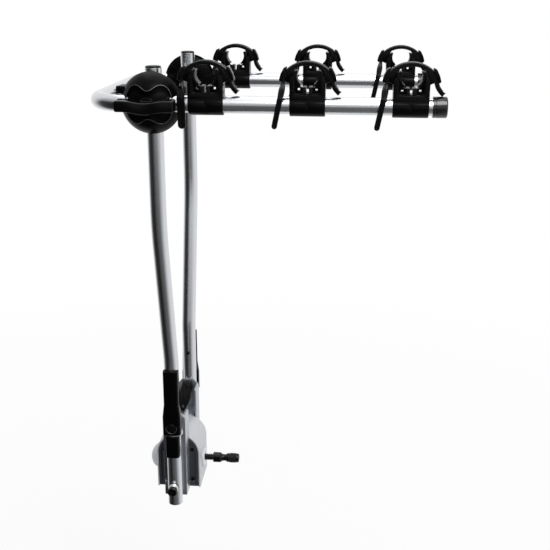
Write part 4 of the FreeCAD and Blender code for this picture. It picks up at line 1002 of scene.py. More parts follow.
@dataclass
class Strap:
    """A rubber strap over a cradle, made round the arm's axis and then set in its place."""

    side: Side
    place: Place
    width: float = 14 * MM
    thick: float = 6.2 * MM
    tip_thick: float = 7.0 * MM
    tip_narrow: float = 0.82
    corner: float = 0.9 * MM
    radius: float = 47 * MM
    top: float = 66.8 * MM
    shoulder: float = 32.6 * MM
    waist: tuple[float, float] = (39.0 * MM, 40.0 * MM)
    waist_turn: float = 0.4 * MM
    tip: tuple[float, float] = (51.0 * MM, 19.6 * MM)
    tip_turn: float = 11 * MM
    neck: tuple[float, float] = (-43.5 * MM, 10.0 * MM)
    tail: tuple[float, float] = (-52.5 * MM, -36.5 * MM)
    tail_wide: float = 9 * MM
    tail_thick: float = 2.8 * MM
    tail_edge: float = 0.5 * MM
    tail_y: float = -15.7 * MM
    tail_overlap: float = 3 * MM
    eye: float = 4 * MM
    eye_start: float = 20 * MM
    eye_steps: int = 12
    web_half: float = 0.6 * MM
    web_corner: float = 0.2 * MM
    web_share: float = 0.6
    tooth: tuple[float, float, float] = (10 * MM, 1.5 * MM, 1.5 * MM)
    teeth: int = 9
    toothed: int = 16
    railed: tuple[int, int] = (2, 46)
    rail_place: float = 0.86
    rail_wide: float = 0.10
    rail_deep: float = 0.30
    rail_corner: float = 0.4 * MM
    tip_steps: int = 8
    flank_steps: int = 6
    crown_steps: int = 28
    twist_steps: int = 14

    @staticmethod
    def bent(start: Vector, bend: Vector, end: Vector, count: int) -> list[tuple[Vector, Vector]]:
        """A curve between two points that heads for a third on its way.

        Args:
            start: The first point, which isn't among those returned.
            bend: The point that it heads for.
            end: The last point.
            count: How many points.

        Returns:
            The points with their directions.
        """
        found = []
        for step in range(1, count + 1):
            part = step / count
            point = start * (1 - part) ** 2 + bend * (2 * part * (1 - part)) + end * part ** 2
            found.append((point, ((bend - start) * (1 - part) + (end - bend) * part).normalized()))
        return found

    def arch(self) -> list[tuple[Vector, Vector]]:
        """The strap's centre line from its tip over the arm to the waist on the other side.

        Returns:
            The points with their directions.
        """
        tip, waist = spot(*self.tip), spot(*self.waist)
        swing = math.asin(self.shoulder / self.radius)
        base = self.top - self.radius
        shoulder = spot(self.shoulder, base + self.radius * math.cos(swing))
        reach = (waist.x - self.waist_turn - shoulder.x) / math.cos(swing)
        bend = shoulder + spot(math.cos(swing), -math.sin(swing)) * reach
        low = waist + (waist - bend).normalized() * self.tip_turn
        line = [(tip, (low - tip).normalized())]
        line += self.bent(tip, low, waist, self.tip_steps)
        line += self.bent(waist, bend, shoulder, self.flank_steps)
        for step in range(1, self.crown_steps + 1):
            angle = swing * (1 - 2 * step / self.crown_steps)
            point = spot(self.radius * math.sin(angle), base + self.radius * math.cos(angle))
            line.append((point, spot(-math.cos(angle), math.sin(angle))))
        left = [spot(-point.x, point.z) for point in (shoulder, bend, waist)]
        return line + self.bent(*left, self.flank_steps)

    def stations(self) -> list[Station]:
        """The strap's sections from its tip to the start of its tail, where it turns edge on.

        Returns:
            For each station the centre, half the width and half the thickness.
        """
        found = []
        for index, (point, along) in enumerate(self.arch()):
            part = min(1.0, index / self.tip_steps)
            narrow = self.tip_narrow + (1 - self.tip_narrow) * min(1.0, part * 3)
            deep = self.tip_thick + (self.thick - self.tip_thick) * part
            across = Vector(ACROSS) * self.width / 2 * narrow
            found.append((point, across, spot(along.z, -along.x) * deep / 2))
        end, last = found[-1][0], spot(*self.neck, self.tail_y)
        for step in range(1, self.twist_steps + 1):
            part = eased(step / self.twist_steps)
            point = end.lerp(last, step / self.twist_steps)
            point.y = self.tail_y * part
            turn = RIGHT_ANGLE * part
            half = (self.width + (self.tail_wide - self.width) * part) / 2
            deep = (self.thick + (self.tail_thick - self.thick) * part) / 2
            across = spot(-math.sin(turn), 0.0, math.cos(turn))
            found.append((point, across * half, spot(-math.cos(turn), 0.0, -math.sin(turn)) * deep))
        return found

    def tail_loop(self) -> bpy.types.Mesh:
        """The flat tail, a plate with a long eye that a thin web closes.

        Returns:
            The mesh.
        """
        curve = bpy.data.curves.new("tail", "CURVE")
        curve.dimensions = "2D"
        curve.fill_mode = "BOTH"
        curve.bevel_depth = self.tail_edge
        curve.bevel_resolution = 2
        curve.extrude = self.tail_thick / 2 - self.tail_edge
        top = Vector((self.neck[0], self.neck[1] + self.tail_overlap))
        low = Vector((self.tail[0], self.tail[1] + self.tail_wide / 2))
        along = (low - top).normalized()
        across = Vector((-along.y, along.x))
        high = top + along * self.eye_start
        swings = [math.pi * step / self.eye_steps for step in range(self.eye_steps + 1)]
        for half, start in ((self.tail_wide / 2 - self.tail_edge, top), (self.eye / 2, high)):
            points = [low + (across * math.cos(a) + along * math.sin(a)) * half for a in swings]
            if start is high:
                points += [start - (across * math.cos(a) + along * math.sin(a)) * half for a in swings]
            else:
                points += [start - across * half, start + across * half]
            spline = curve.splines.new("POLY")
            spline.points.add(len(points) - 1)
            for item, point in zip(spline.points, points):
                item.co = (*point, 0, 1)
            spline.use_cyclic_u = True
        plate = moved(baked(linked("tail", curve)), (0, 0, 0), Matrix(((1, 0, 0), (0, 0, -1), (0, 1, 0))))
        reach = self.web_share * self.eye
        ends = (low + along * reach, high - along * reach)
        thin = Vector(ACROSS) * self.web_half
        web = banded(((spot(*end), spot(*across) * reach, thin) for end in ends), self.web_corner)
        return moved(merged(plate, web), (0, self.tail_y, 0))

    def build(self, shop: Workshop) -> bpy.types.Object:
        """Makes the strap with its ladder of teeth and edge rails, their lighter finish a painted highlight.

        Args:
            shop: Where pieces are made.

        Returns:
            The strap.
        """
        stations = self.stations()
        outer = [centre + deep for centre, wide, deep in stations]
        teeth = shop.teeth(outer[:self.toothed], self.teeth, self.tooth, "rubber")
        mesh = merged(banded(stations, self.corner), self.tail_loop(), teeth)
        rails = []
        for edge in (-self.rail_place, self.rail_place):
            line = stations[self.railed[0]:self.railed[1]]
            rail = [(centre + deep + wide * edge, wide * self.rail_wide, deep * self.rail_deep)
                    for centre, wide, deep in line]
            rails.append(banded(rail, self.rail_corner))
        node = f"{self.side.word}_{self.place.word}_strap"
        seat = (SEATS[self.place.value], self.side.value * ARM_Y, HUB_Z)
        shop.add(f"{node}_rails", moved(merged(*rails), seat), "arms", "rubber", "lit_gloss")
        return shop.add(f"{node}_rubber", moved(mesh, seat), "arms", "rubber", replaces=[node])


@dataclass
class WingKnob:
    """The long wavy knob on a hub bolt."""

    side: Side
    reach: float = 47.5 * MM
    low: float = 225 * MM
    high: float = 252 * MM
    above: tuple[float, float] = (7.2 * MM, 11.4 * MM)
    below: tuple[float, float] = (12.9 * MM, 8.3 * MM)
    wave_end: float = 0.72
    dip: float = 1.1 * MM
    end: float = 2.2 * MM
    end_drop: tuple[float, float] = (1.4 * MM, 1.2 * MM)
    corner: float = 2.0 * MM
    taper: float = 0.10
    steps: int = 56
    boss_low: float = 212.6 * MM
    boss_high: float = 228 * MM
    boss_radius: float = 13 * MM
    boss_edge: float = 0.8 * MM

    def edges(self, x: float) -> tuple[float, float]:
        """How far the knob reaches up and down at a distance from its middle.

        Args:
            x: The distance.

        Returns:
            The reach above and below the bolt's axis.
        """
        wave = (1 - math.cos(math.pi * held(abs(x) / self.reach / self.wave_end))) / 2
        up, down = (start + (end - start) * wave for start, end in (self.above, self.below))
        return up, down

    def bar(self) -> bpy.types.Mesh:
        """The knob's bar, narrower at its outer face.

        Returns:
            The mesh, with the bolt's axis along Y.
        """
        stations = []
        for step in range(self.steps + 1):
            x = self.reach * (2 * step / self.steps - 1)
            end = 1 - held((self.reach - abs(x)) / self.end)
            up, down = self.edges(x)
            half = (up + down) / 2 - self.end_drop[0] * end ** 2
            deep = (self.high - self.low) / 2 - self.end_drop[1] * end ** 2
            dip = self.dip * (1 + math.cos(2 * math.pi * held(abs(x) / self.reach))) / 2
            middle = spot(x, (up - down) / 2, (self.low + self.high) / 2 - dip / 2)
            stations.append((middle, Vector(ACROSS) * (deep - dip / 2), Vector(UP) * half))
        bar = banded(stations, self.corner, 4)
        for vert in bar.vertices:
            vert.co.z *= 1.0 - self.taper * max(0.0, vert.co.y - self.low) / (self.high - self.low)
        return bar

    def build(self, shop: Workshop) -> bpy.types.Object:
        """Makes the knob.

        Args:
            shop: Where pieces are made.

        Returns:
            The knob.
        """
        base, wide, top = self.boss_low, self.boss_radius, self.boss_high
        boss = lathe([(base, 0.0), (base, wide - self.boss_edge), (base + self.boss_edge, wide), (top, wide),
                      (top, 0.0)])
        moved(boss, (0, 0, 0), Matrix(((0, -1, 0), (1, 0, 0), (0, 0, 1))))
        mesh = merged(self.bar(), boss)
        if self.side is Side.LEFT:
            mesh.transform(Matrix.Rotation(math.pi, 4, "Z"))
        moved(mesh, (HUB_X, 0, HUB_Z))
        node = f"{self.side.word}_wing_knob"
        return shop.add(f"{node}_grip", mesh, f"{self.side.word}_knob", "knob", replaces=[node])


@dataclass
class Cradle:
    """A cradle on an arm, with its buckles round the strap and the ribs behind its pad.

    The outlines are points of X and Z in millimetres from the arm's axis, on one side of the cradle.
    """

    side: Side
    place: Place
    cheek_half: float = 14.6 * MM
    buckle_half: float = 7.4 * MM
    keeper_half: float = 8.3 * MM
    rib_half: float = 3 * MM
    edge: float = 0.7 * MM
    plate_edge: float = 0.6 * MM
    pad_edge: float = 0.5 * MM
    cheek: Outline = ((23.2, 22.0), (28.6, 22.0), (28.9, 36.5), (25.6, 47.0), (23.2, 47.0))
    buckle: Outline = (
        (23.4, 36.0), (28.4, 35.5), (36.8, 38.8), (36.4, 45.0), (32.4, 51.6), (27.4, 57.0), (19.4, 60.6),
        (19.2, 58.4), (22.6, 54.6),
    )
    keeper: Outline = (
        (33.6, 55.4), (34.6, 58.6), (36.8, 60.2), (38.8, 59.4), (43.6, 50.0), (46.2, 41.2), (45.0, 38.6),
        (40.8, 38.4), (40.2, 46.0),
    )
    ribs: tuple[Outline, ...] = (
        ((7.0, 20.2), (19.8, 20.2), (19.8, 24.6), (7.0, 24.6)),
        ((7.0, 24.4), (12.4, 24.4), (12.4, 31.0), (10.0, 29.7), (7.0, 28.9)),
        ((16.0, 24.4), (19.8, 24.4), (19.8, 43.0), (16.0, 36.4)),
        ((12.2, 28.0), (16.2, 28.0), (16.2, 36.4), (12.2, 31.2)),
    )

    def build(self, shop: Workshop) -> None:
        """Makes the cradle with its buckles and ribs, and its pad.

        Args:
            shop: Where pieces are made.
        """
        node = f"{self.side.word}_{self.place.word}_cradle"
        shop.softened(node, self.edge)
        outlines = [(self.cheek, self.cheek_half), (self.buckle, self.buckle_half)]
        outlines += [(self.keeper, self.keeper_half), *((rib, self.rib_half) for rib in self.ribs)]
        plates = []
        for hand in (1, -1):
            plates += [prism([(hand * x, z) for x, z in outline], half) for outline, half in outlines]
        mesh = rounded(merged(*plates), self.plate_edge)
        moved(mesh, (SEATS[self.place.value], self.side.value * ARM_Y, HUB_Z))
        shop.add(f"{node}_buckles", mesh, "arms", "dark")
        shop.softened(f"{self.side.word}_{self.place.word}_pad", self.pad_edge)


@dataclass
class HubCover:
    """The domed cover of a hub with the hollow round its knob, the disc behind it and the ribbed catch.

    The forms are made outwards along Y. The left ones are mirrored across, and on the right the cover and the
    catch are turned over, so that the catch lies above the hub's axis on the left and below it on the right.
    """

    side: Side
    rim: float = 186.6 * MM
    radius: float = 50.8 * MM
    height: float = 37.4 * MM
    shell: float = 0.8 * MM
    bore: float = 9.0 * MM
    lip: float = 3.0 * MM
    chamfer: float = 0.6 * MM
    hollow: float = 6.0 * MM
    slope: float = 13.0 * MM
    valley: float = 22.5 * MM
    peak: float = 31.0 * MM
    peak_x: float = 19.5 * MM
    hollow_end: float = 39.0 * MM
    hollow_power: float = 2.2
    tube_end: float = 36 * MM
    tube_room: float = 0.6 * MM
    around: int = 168
    across: int = 62
    bead: float = 0.55 * MM
    bead_rise: float = 0.7 * MM
    bead_end: float = 38.5 * MM
    bead_steps: int = 60
    disc: tuple[float, float] = (179.2 * MM, 182.2 * MM)
    disc_radius: float = 46.8 * MM
    disc_bore: float = 12 * MM
    spokes: int = 14
    spoke: Outline = ((22, -0.5), (44, -0.5), (44, 0.5), (22, 0.5))
    spoke_half: float = 0.35 * MM
    spoke_rise: float = 0.3 * MM
    catch_low: tuple[float, float, float] = (-60.0 * MM, 139.0 * MM, 13.0 * MM)
    catch_high: tuple[float, float, float] = (-50.0 * MM, 181.0 * MM, 25.0 * MM)
    catch_root: float = -27 * MM
    catch_corner: float = 1 * MM
    catch_edge: float = 0.6 * MM
    catch_web_y: float = 172 * MM
    catch_web_half: tuple[float, float] = (5 * MM, 3 * MM)
    catch_rib_rise: float = 0.2 * MM
    catch_rib: tuple[float, float, float] = (9.6 * MM, 1.4 * MM, 1.8 * MM)
    catch_ribs: int = 8
    catch_steps: int = 20

    @property
    def axis(self) -> tuple[int, int, int]:
        """The axis that the form is mirrored along: across on the left, upright on the right."""
        return ACROSS if self.side is Side.LEFT else UP

    def edge(self, x: float) -> float:
        """How high the hollow reaches at a distance from the dome's middle.

        Args:
            x: The distance.

        Returns:
            The height, or -1 beyond the hollow.
        """
        x = abs(x)
        if x >= self.hollow_end:
            return -1.0
        if x < self.peak_x:
            return self.valley + (self.peak - self.valley) * (1 - math.cos(math.pi * x / self.peak_x)) / 2
        part = (x - self.peak_x) / (self.hollow_end - self.peak_x)
        return self.peak * math.sqrt(max(0.0, 1 - part ** self.hollow_power))

    def level(self, x: float, z: float) -> float:
        """How far the dome stands out from its rim, with its hollow, but never below the arm's tube.

        Args:
            x: The distance from its middle along X.
            z: The distance from its middle along Z.

        Returns:
            The height over the rim.
        """
        ball = (self.radius ** 2 + self.height ** 2) / (2 * self.height)
        out = math.sqrt(max(0.0, ball ** 2 - x * x - z * z)) - (ball - self.height)
        inside = self.edge(x) - abs(z)
        if inside > 0:
            out -= self.hollow * (1 - (1 - min(1.0, inside / self.slope)) ** 2)
        tube = 0.0
        if abs(z) < TUBE_RADIUS and math.hypot(x, z) < self.tube_end:
            tube = ARM_Y - self.rim + math.sqrt(max(0.0, (TUBE_RADIUS + self.tube_room) ** 2 - z * z))
        return max(out, tube, 0.0)

    def dome(self) -> bpy.types.Mesh:
        """The dome, closed at its back.

        Returns:
            The mesh, with its rim at the origin.
        """
        around = circle(self.around)
        back = ((self.bore, 0.0), (self.radius - self.lip, 0.0), (self.radius - self.chamfer, 0.0),
                (self.radius, self.chamfer))
        rings = [[spot(r * math.cos(a), r * math.sin(a), y) for a in around] for r, y in back]
        for step in range(self.across + 1):
            r = self.bore + (self.radius - self.bore) * math.cos(RIGHT_ANGLE * step / self.across)
            flat = [(r * math.cos(a), r * math.sin(a)) for a in around]
            rings.append([spot(x, z, self.level(x, z) + self.shell) for x, z in flat])
        return swept(rings, True)

    def plate(self) -> list[bpy.types.Mesh]:
        """The disc behind the dome.

        Returns:
            The meshes of the disc and the spokes on its back.
        """
        low, high = self.disc
        wide = self.disc_radius
        outline = [
            (low, self.disc_bore), (low, wide - 0.7 * MM), (low + 0.7 * MM, wide), (high - 0.5 * MM, wide),
            (high, wide - 0.5 * MM), (high, self.disc_bore), (low, self.disc_bore),
        ]
        parts = [moved(lathe(outline, 96), (0, 0, 0), Matrix.Rotation(RIGHT_ANGLE, 3, "Z"))]
        for index in range(self.spokes):
            spoke = prism(self.spoke, self.spoke_half, low - self.spoke_rise)
            spoke.transform(Matrix.Rotation(2 * math.pi * (index + 0.5) / self.spokes, 4, "Y"))
            parts.append(spoke)
        return parts

    def beads(self) -> bpy.types.Mesh:
        """The thin beads along the hollow's edge, whose lighter glossy finish paints the ridge's highlight.

        Returns:
            The mesh, as it lies on the right side.
        """
        lines = []
        for up in (1, -1):
            points = []
            for step in range(self.bead_steps + 1):
                x = self.bead_end * (2 * step / self.bead_steps - 1)
                z = up * self.edge(x)
                points.append(spot(x, z, self.rim + self.level(x, z) + self.bead_rise))
            lines.append(wire(points, self.bead))
        return merged(*lines)

    def build(self, shop: Workshop) -> None:
        """Makes the cover, its beads and its catch.

        Args:
            shop: Where pieces are made.
        """
        hub = (HUB_X, 0, HUB_Z)
        word = self.side.word
        mesh = mirrored(merged(moved(self.dome(), (0, self.rim, 0)), *self.plate()), self.axis)
        shop.add(f"{word}_hub_cover_dome", moved(mesh, hub), "arms", "cover", replaces=[f"{word}_hub_cover"],
                 sharp=50)
        self.catch(shop)
        bead = self.beads()
        if self.side is Side.LEFT:
            mirrored(bead, ACROSS)
        shop.add(f"{word}_hub_beads", moved(bead, hub), "arms", "cover", "lit_gloss", sharp=80)

    def catch(self, shop: Workshop) -> None:
        """The ribbed catch on the upright's half of the hub, which stays there when the arms fold.

        Args:
            shop: Where pieces are made.
        """
        base, top = Vector(self.catch_low), Vector(self.catch_high)
        middle, size = (base + top) / 2, (top - base) / 2
        ends = (spot(middle.x, middle.z, y) for y in (base.y, top.y))
        corner = self.catch_corner
        block = banded(((end, spot(size.x, 0), spot(0, size.z)) for end in ends), corner)
        ends = (spot(x, middle.z, self.catch_web_y) for x in (top.x - corner, self.catch_root))
        wide, deep = self.catch_web_half
        web = banded(((end, Vector(ACROSS) * wide, Vector(UP) * deep) for end in ends), corner)
        face = base.x - self.catch_rib_rise
        steps = self.catch_steps
        path = [spot(face, middle.z, base.y + (top.y - base.y) * step / steps) for step in range(1, steps)]
        rail = shop.teeth(path, self.catch_ribs, self.catch_rib, "cover")
        mesh = mirrored(merged(rounded(block, self.catch_edge), web, rail), self.axis)
        shop.add(f"{self.side.word}_hub_catch", moved(mesh, (HUB_X, 0, HUB_Z)), "uprights", "cover")


@dataclass
class Arms:
    """The arm frame with its cradles, pads, straps, hub covers and caps."""

    shop: Workshop
    cap_low: float = 491.5 * MM
    cap_high: float = 515 * MM
    cap_bore: float = 14.05 * MM
    cap_radius: float = 17 * MM
    near_neck: tuple[float, float] = (-39.5 * MM, 10 * MM)
    near_tail: tuple[float, float] = (-38.5 * MM, -38 * MM)
    near_tail_wide: float = 13 * MM

    def build(self) -> None:
        """Dresses the arms."""
        for side in Side:
            for place in Place:
                Cradle(side, place).build(self.shop)
                self.strap(side, place).build(self.shop)
            HubCover(side).build(self.shop)
            WingKnob(side).build(self.shop)
            self.cap(side)

    def strap(self, side: Side, place: Place) -> Strap:
        """The strap of a cradle; the left front one hangs straight down with a wider tail.

        Args:
            side: The side.
            place: The cradle's place.

        Returns:
            The strap, not made yet.
        """
        if side is Side.LEFT and place is Place.FRONT:
            return Strap(side, place, neck=self.near_neck, tail=self.near_tail, tail_wide=self.near_tail_wide)
        return Strap(side, place)

    def cap(self, side: Side) -> bpy.types.Object:
        """The black cap on an arm's end, with a groove and a domed face.

        Args:
            side: The side.

        Returns:
            The cap.
        """
        low, high, wall = self.cap_low, self.cap_high, self.cap_radius
        mesh = lathe([
            (low, self.cap_bore), (low, wall - 0.8 * MM), (low + 0.8 * MM, wall), (low + 4 * MM, wall),
            (low + 4.4 * MM, wall - 0.35 * MM), (low + 5.2 * MM, wall - 0.35 * MM), (low + 5.6 * MM, wall),
            (high - 2.5 * MM, wall), (high - 1.2 * MM, wall - 0.5 * MM), (high - 0.3 * MM, wall - 1.6 * MM),
            (high, wall - 3 * MM), (high, 0.0),
        ])
        moved(mesh, (0, side.value * ARM_Y, HUB_Z))
        node = f"{side.word}_arm_cap"
        return self.shop.add(f"{node}_rubber", mesh, "arms", "cap", replaces=[node])


@dataclass
class Spindle:
    """The clamping spindle with its thread, hexagon and ribbed grip."""

    start: float = 27.1 * MM
    hexagon: tuple[float, float] = (98 * MM, 114 * MM)
    flat: float = 10 * MM
    chamfer: float = 1.2 * MM
    chamfer_share: float = 0.93
    hexagon_edge: float = 0.4 * MM
    crest: float = 6.95 * MM
    root: float = 5.5 * MM
    pitch: float = 4 * MM
    flank: float = 5.0
    root_share: float = 0.75
    thread_step: float = 0.5 * MM
    thread_around: int = 40
    thread_overlap: float = 1 * MM
    neck: tuple[float, float, float] = (8.5 * MM, 6.6 * MM, 7.2 * MM)
    grip: tuple[float, float] = (125 * MM, 151 * MM)
    grip_radius: float = 9.2 * MM
    grip_ribs: int = 18
    grip_sunk: float = 0.2 * MM
    grip_rib: tuple[float, float, float] = (14 * MM, 1.5 * MM, 1.7 * MM)

    def thread(self) -> bpy.types.Mesh:
        """The threaded shank.

        Returns:
            The mesh.
        """
        rings = []
        count = round((self.hexagon[0] + self.thread_overlap - self.start) / self.thread_step)
        for index in range(count + 1):
            x = self.start + index * self.thread_step
            ring = []
            for angle in circle(self.thread_around):
                phase = (x / self.pitch - angle / (2 * math.pi)) % 1.0
                high = held(abs(phase - 0.5) * self.flank - self.root_share)
                if index in (0, count):
                    high = 0.0
                radius = self.root + (self.crest - self.root) * high
                ring.append(Vector((x, radius * math.cos(angle), radius * math.sin(angle))))
            rings.append(ring)
        return swept(rings)

    def head(self) -> bpy.types.Mesh:
        """The hexagon with its chamfered corners, and the neck behind it.

        Returns:
            The mesh.
        """
        low, high = self.hexagon
        rings = []
        cut = self.chamfer_share
        for x, share in ((low, cut), (low + self.chamfer, 1.0), (high - self.chamfer, 1.0), (high, cut)):
            corner = self.flat / math.cos(math.pi / 6) * share
            rings.append([Vector((x, corner * math.sin(a), corner * math.cos(a))) for a in circle(6)])
        flange, waist, end = self.neck
        neck = lathe([
            (high - 1 * MM, 0.0), (high - 1 * MM, flange), (high + 0.4 * MM, flange),
            (high + 2.2 * MM, 7.4 * MM), (high + 7 * MM, waist), (high + 9 * MM, end), (high + 12 * MM, end),
            (high + 12 * MM, 0.0),
        ], 48)
        return merged(rounded(swept(rings), self.hexagon_edge), neck)

    def build(self, shop: Workshop) -> None:
        """Makes the spindle and its grip.

        Args:
            shop: Where pieces are made.
        """
        shop.add("spindle_turned", merged(self.thread(), self.head()), "spindle", "black_steel",
                 replaces=["clamp_spindle"], sharp=30)
        low, high = self.grip
        wide = self.grip_radius
        bar = lathe([
            (low, 7.4 * MM), (low, wide - 1.6 * MM), (low + 0.6 * MM, wide - 0.7 * MM),
            (low + 2.0 * MM, wide), (low + 5.0 * MM, wide), (low + 5.6 * MM, wide - 0.5 * MM),
            (high - 6.4 * MM, wide - 0.5 * MM), (high - 5.8 * MM, wide), (high - 2.4 * MM, wide),
            (high - 0.8 * MM, wide - 0.9 * MM), (high, wide - 2.6 * MM), (high, 0.0),
        ], 64)
        path = []
        for angle in circle(4 * self.grip_ribs)[:4 * self.grip_ribs - 3]:
            out = Vector((0, math.cos(angle), math.sin(angle))) * (wide - self.grip_sunk)
            path.append(out + Vector(((low + high) / 2, 0, 0)))
        rail = shop.teeth(path, self.grip_ribs, self.grip_rib, "knob")
        shop.add("spindle_grip_ribbed", merged(bar, rail), "spindle", "knob", replaces=["spindle_grip"])


@dataclass
class Latch:
    """A spring-held pin at the foot of an upright."""

    side: Side
    tip: float = 77 * MM
    shank: float = 3.98 * MM
    knob: tuple[float, float] = (122.5 * MM, 131.5 * MM)
    knob_radius: float = 9.4 * MM
    coil: float = 8.7 * MM
    wire: float = 0.8 * MM
    turns: int = 4
    turn_steps: int = 28
    wire_sides: int = 8
    flat_turns: float = 0.6
    sleeve: float = 7.4 * MM
    sleeve_bore: float = 4.1 * MM
    sleeve_sunk: float = 1 * MM
    sleeve_room: float = 0.8 * MM
    seat: float = 112.5 * MM

    def pin(self) -> bpy.types.Mesh:
        """The pin with its grooved and dished knob.

        Returns:
            The mesh, along X.
        """
        low, high = self.knob
        wide = self.knob_radius
        return lathe([
            (self.tip, 0.0), (self.tip, self.shank - 0.8 * MM), (self.tip + 0.8 * MM, self.shank),
            (low, self.shank), (low, wide - 0.7 * MM), (low + 0.7 * MM, wide), (low + 3.0 * MM, wide),
            (low + 3.5 * MM, wide - 0.6 * MM), (low + 4.5 * MM, wide - 0.6 * MM), (low + 5.0 * MM, wide),
            (high - 1.4 * MM, wide), (high - 0.3 * MM, wide - 0.9 * MM), (high, wide - 1.8 * MM),
            (high - 0.8 * MM, wide - 3.4 * MM), (high - 0.8 * MM, 0.0),
        ], 56)

    def spring(self) -> bpy.types.Mesh:
        """The coil between the seat and the knob, with its ends laid flat.

        Returns:
            The mesh, along X.
        """
        start, end = self.seat + self.wire, self.knob[0] - self.wire
        steps = self.turn_steps * self.turns
        rings = []
        for index in range(steps + 1):
            turns = self.turns * index / steps
            climb = held((turns - self.flat_turns) / (self.turns - 2 * self.flat_turns))
            out = Vector((0, math.cos(2 * math.pi * turns), math.sin(2 * math.pi * turns)))
            centre = Vector((start + (end - start) * climb, 0, 0)) + out * self.coil
            rays = [out * math.cos(a) + Vector((math.sin(a), 0, 0)) for a in circle(self.wire_sides)]
            rings.append([centre + ray * self.wire for ray in rays])
        return swept(rings)

    def build(self, shop: Workshop) -> None:
        """Makes the pin, the sleeve round it and the coil between knob and seat.

        Args:
            shop: Where pieces are made.
        """
        word = self.side.word
        low = self.knob[0]
        shop.add(f"{word}_latch_turned", outwards(self.pin(), self.side, HUB_X, LATCH_Z), f"{word}_pin",
                 "black_steel", replaces=[f"{word}_latch_pin"], sharp=30)
        inner, outer = self.seat - self.sleeve_sunk, low - self.sleeve_room
        core = lathe([(inner, self.sleeve_bore), (inner, self.sleeve), (outer, self.sleeve),
                      (outer, self.sleeve_bore), (inner, self.sleeve_bore)], 40)
        shop.add(f"{word}_latch_guide", outwards(core, self.side, HUB_X, LATCH_Z), "uprights", "zinc", "dark")
        mesh = outwards(self.spring(), self.side, HUB_X, LATCH_Z)
        coil = shop.add(f"{word}_coil", mesh, None, "wire", replaces=[f"{word}_pin_spring"], sharp=80)
        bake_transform(coil)


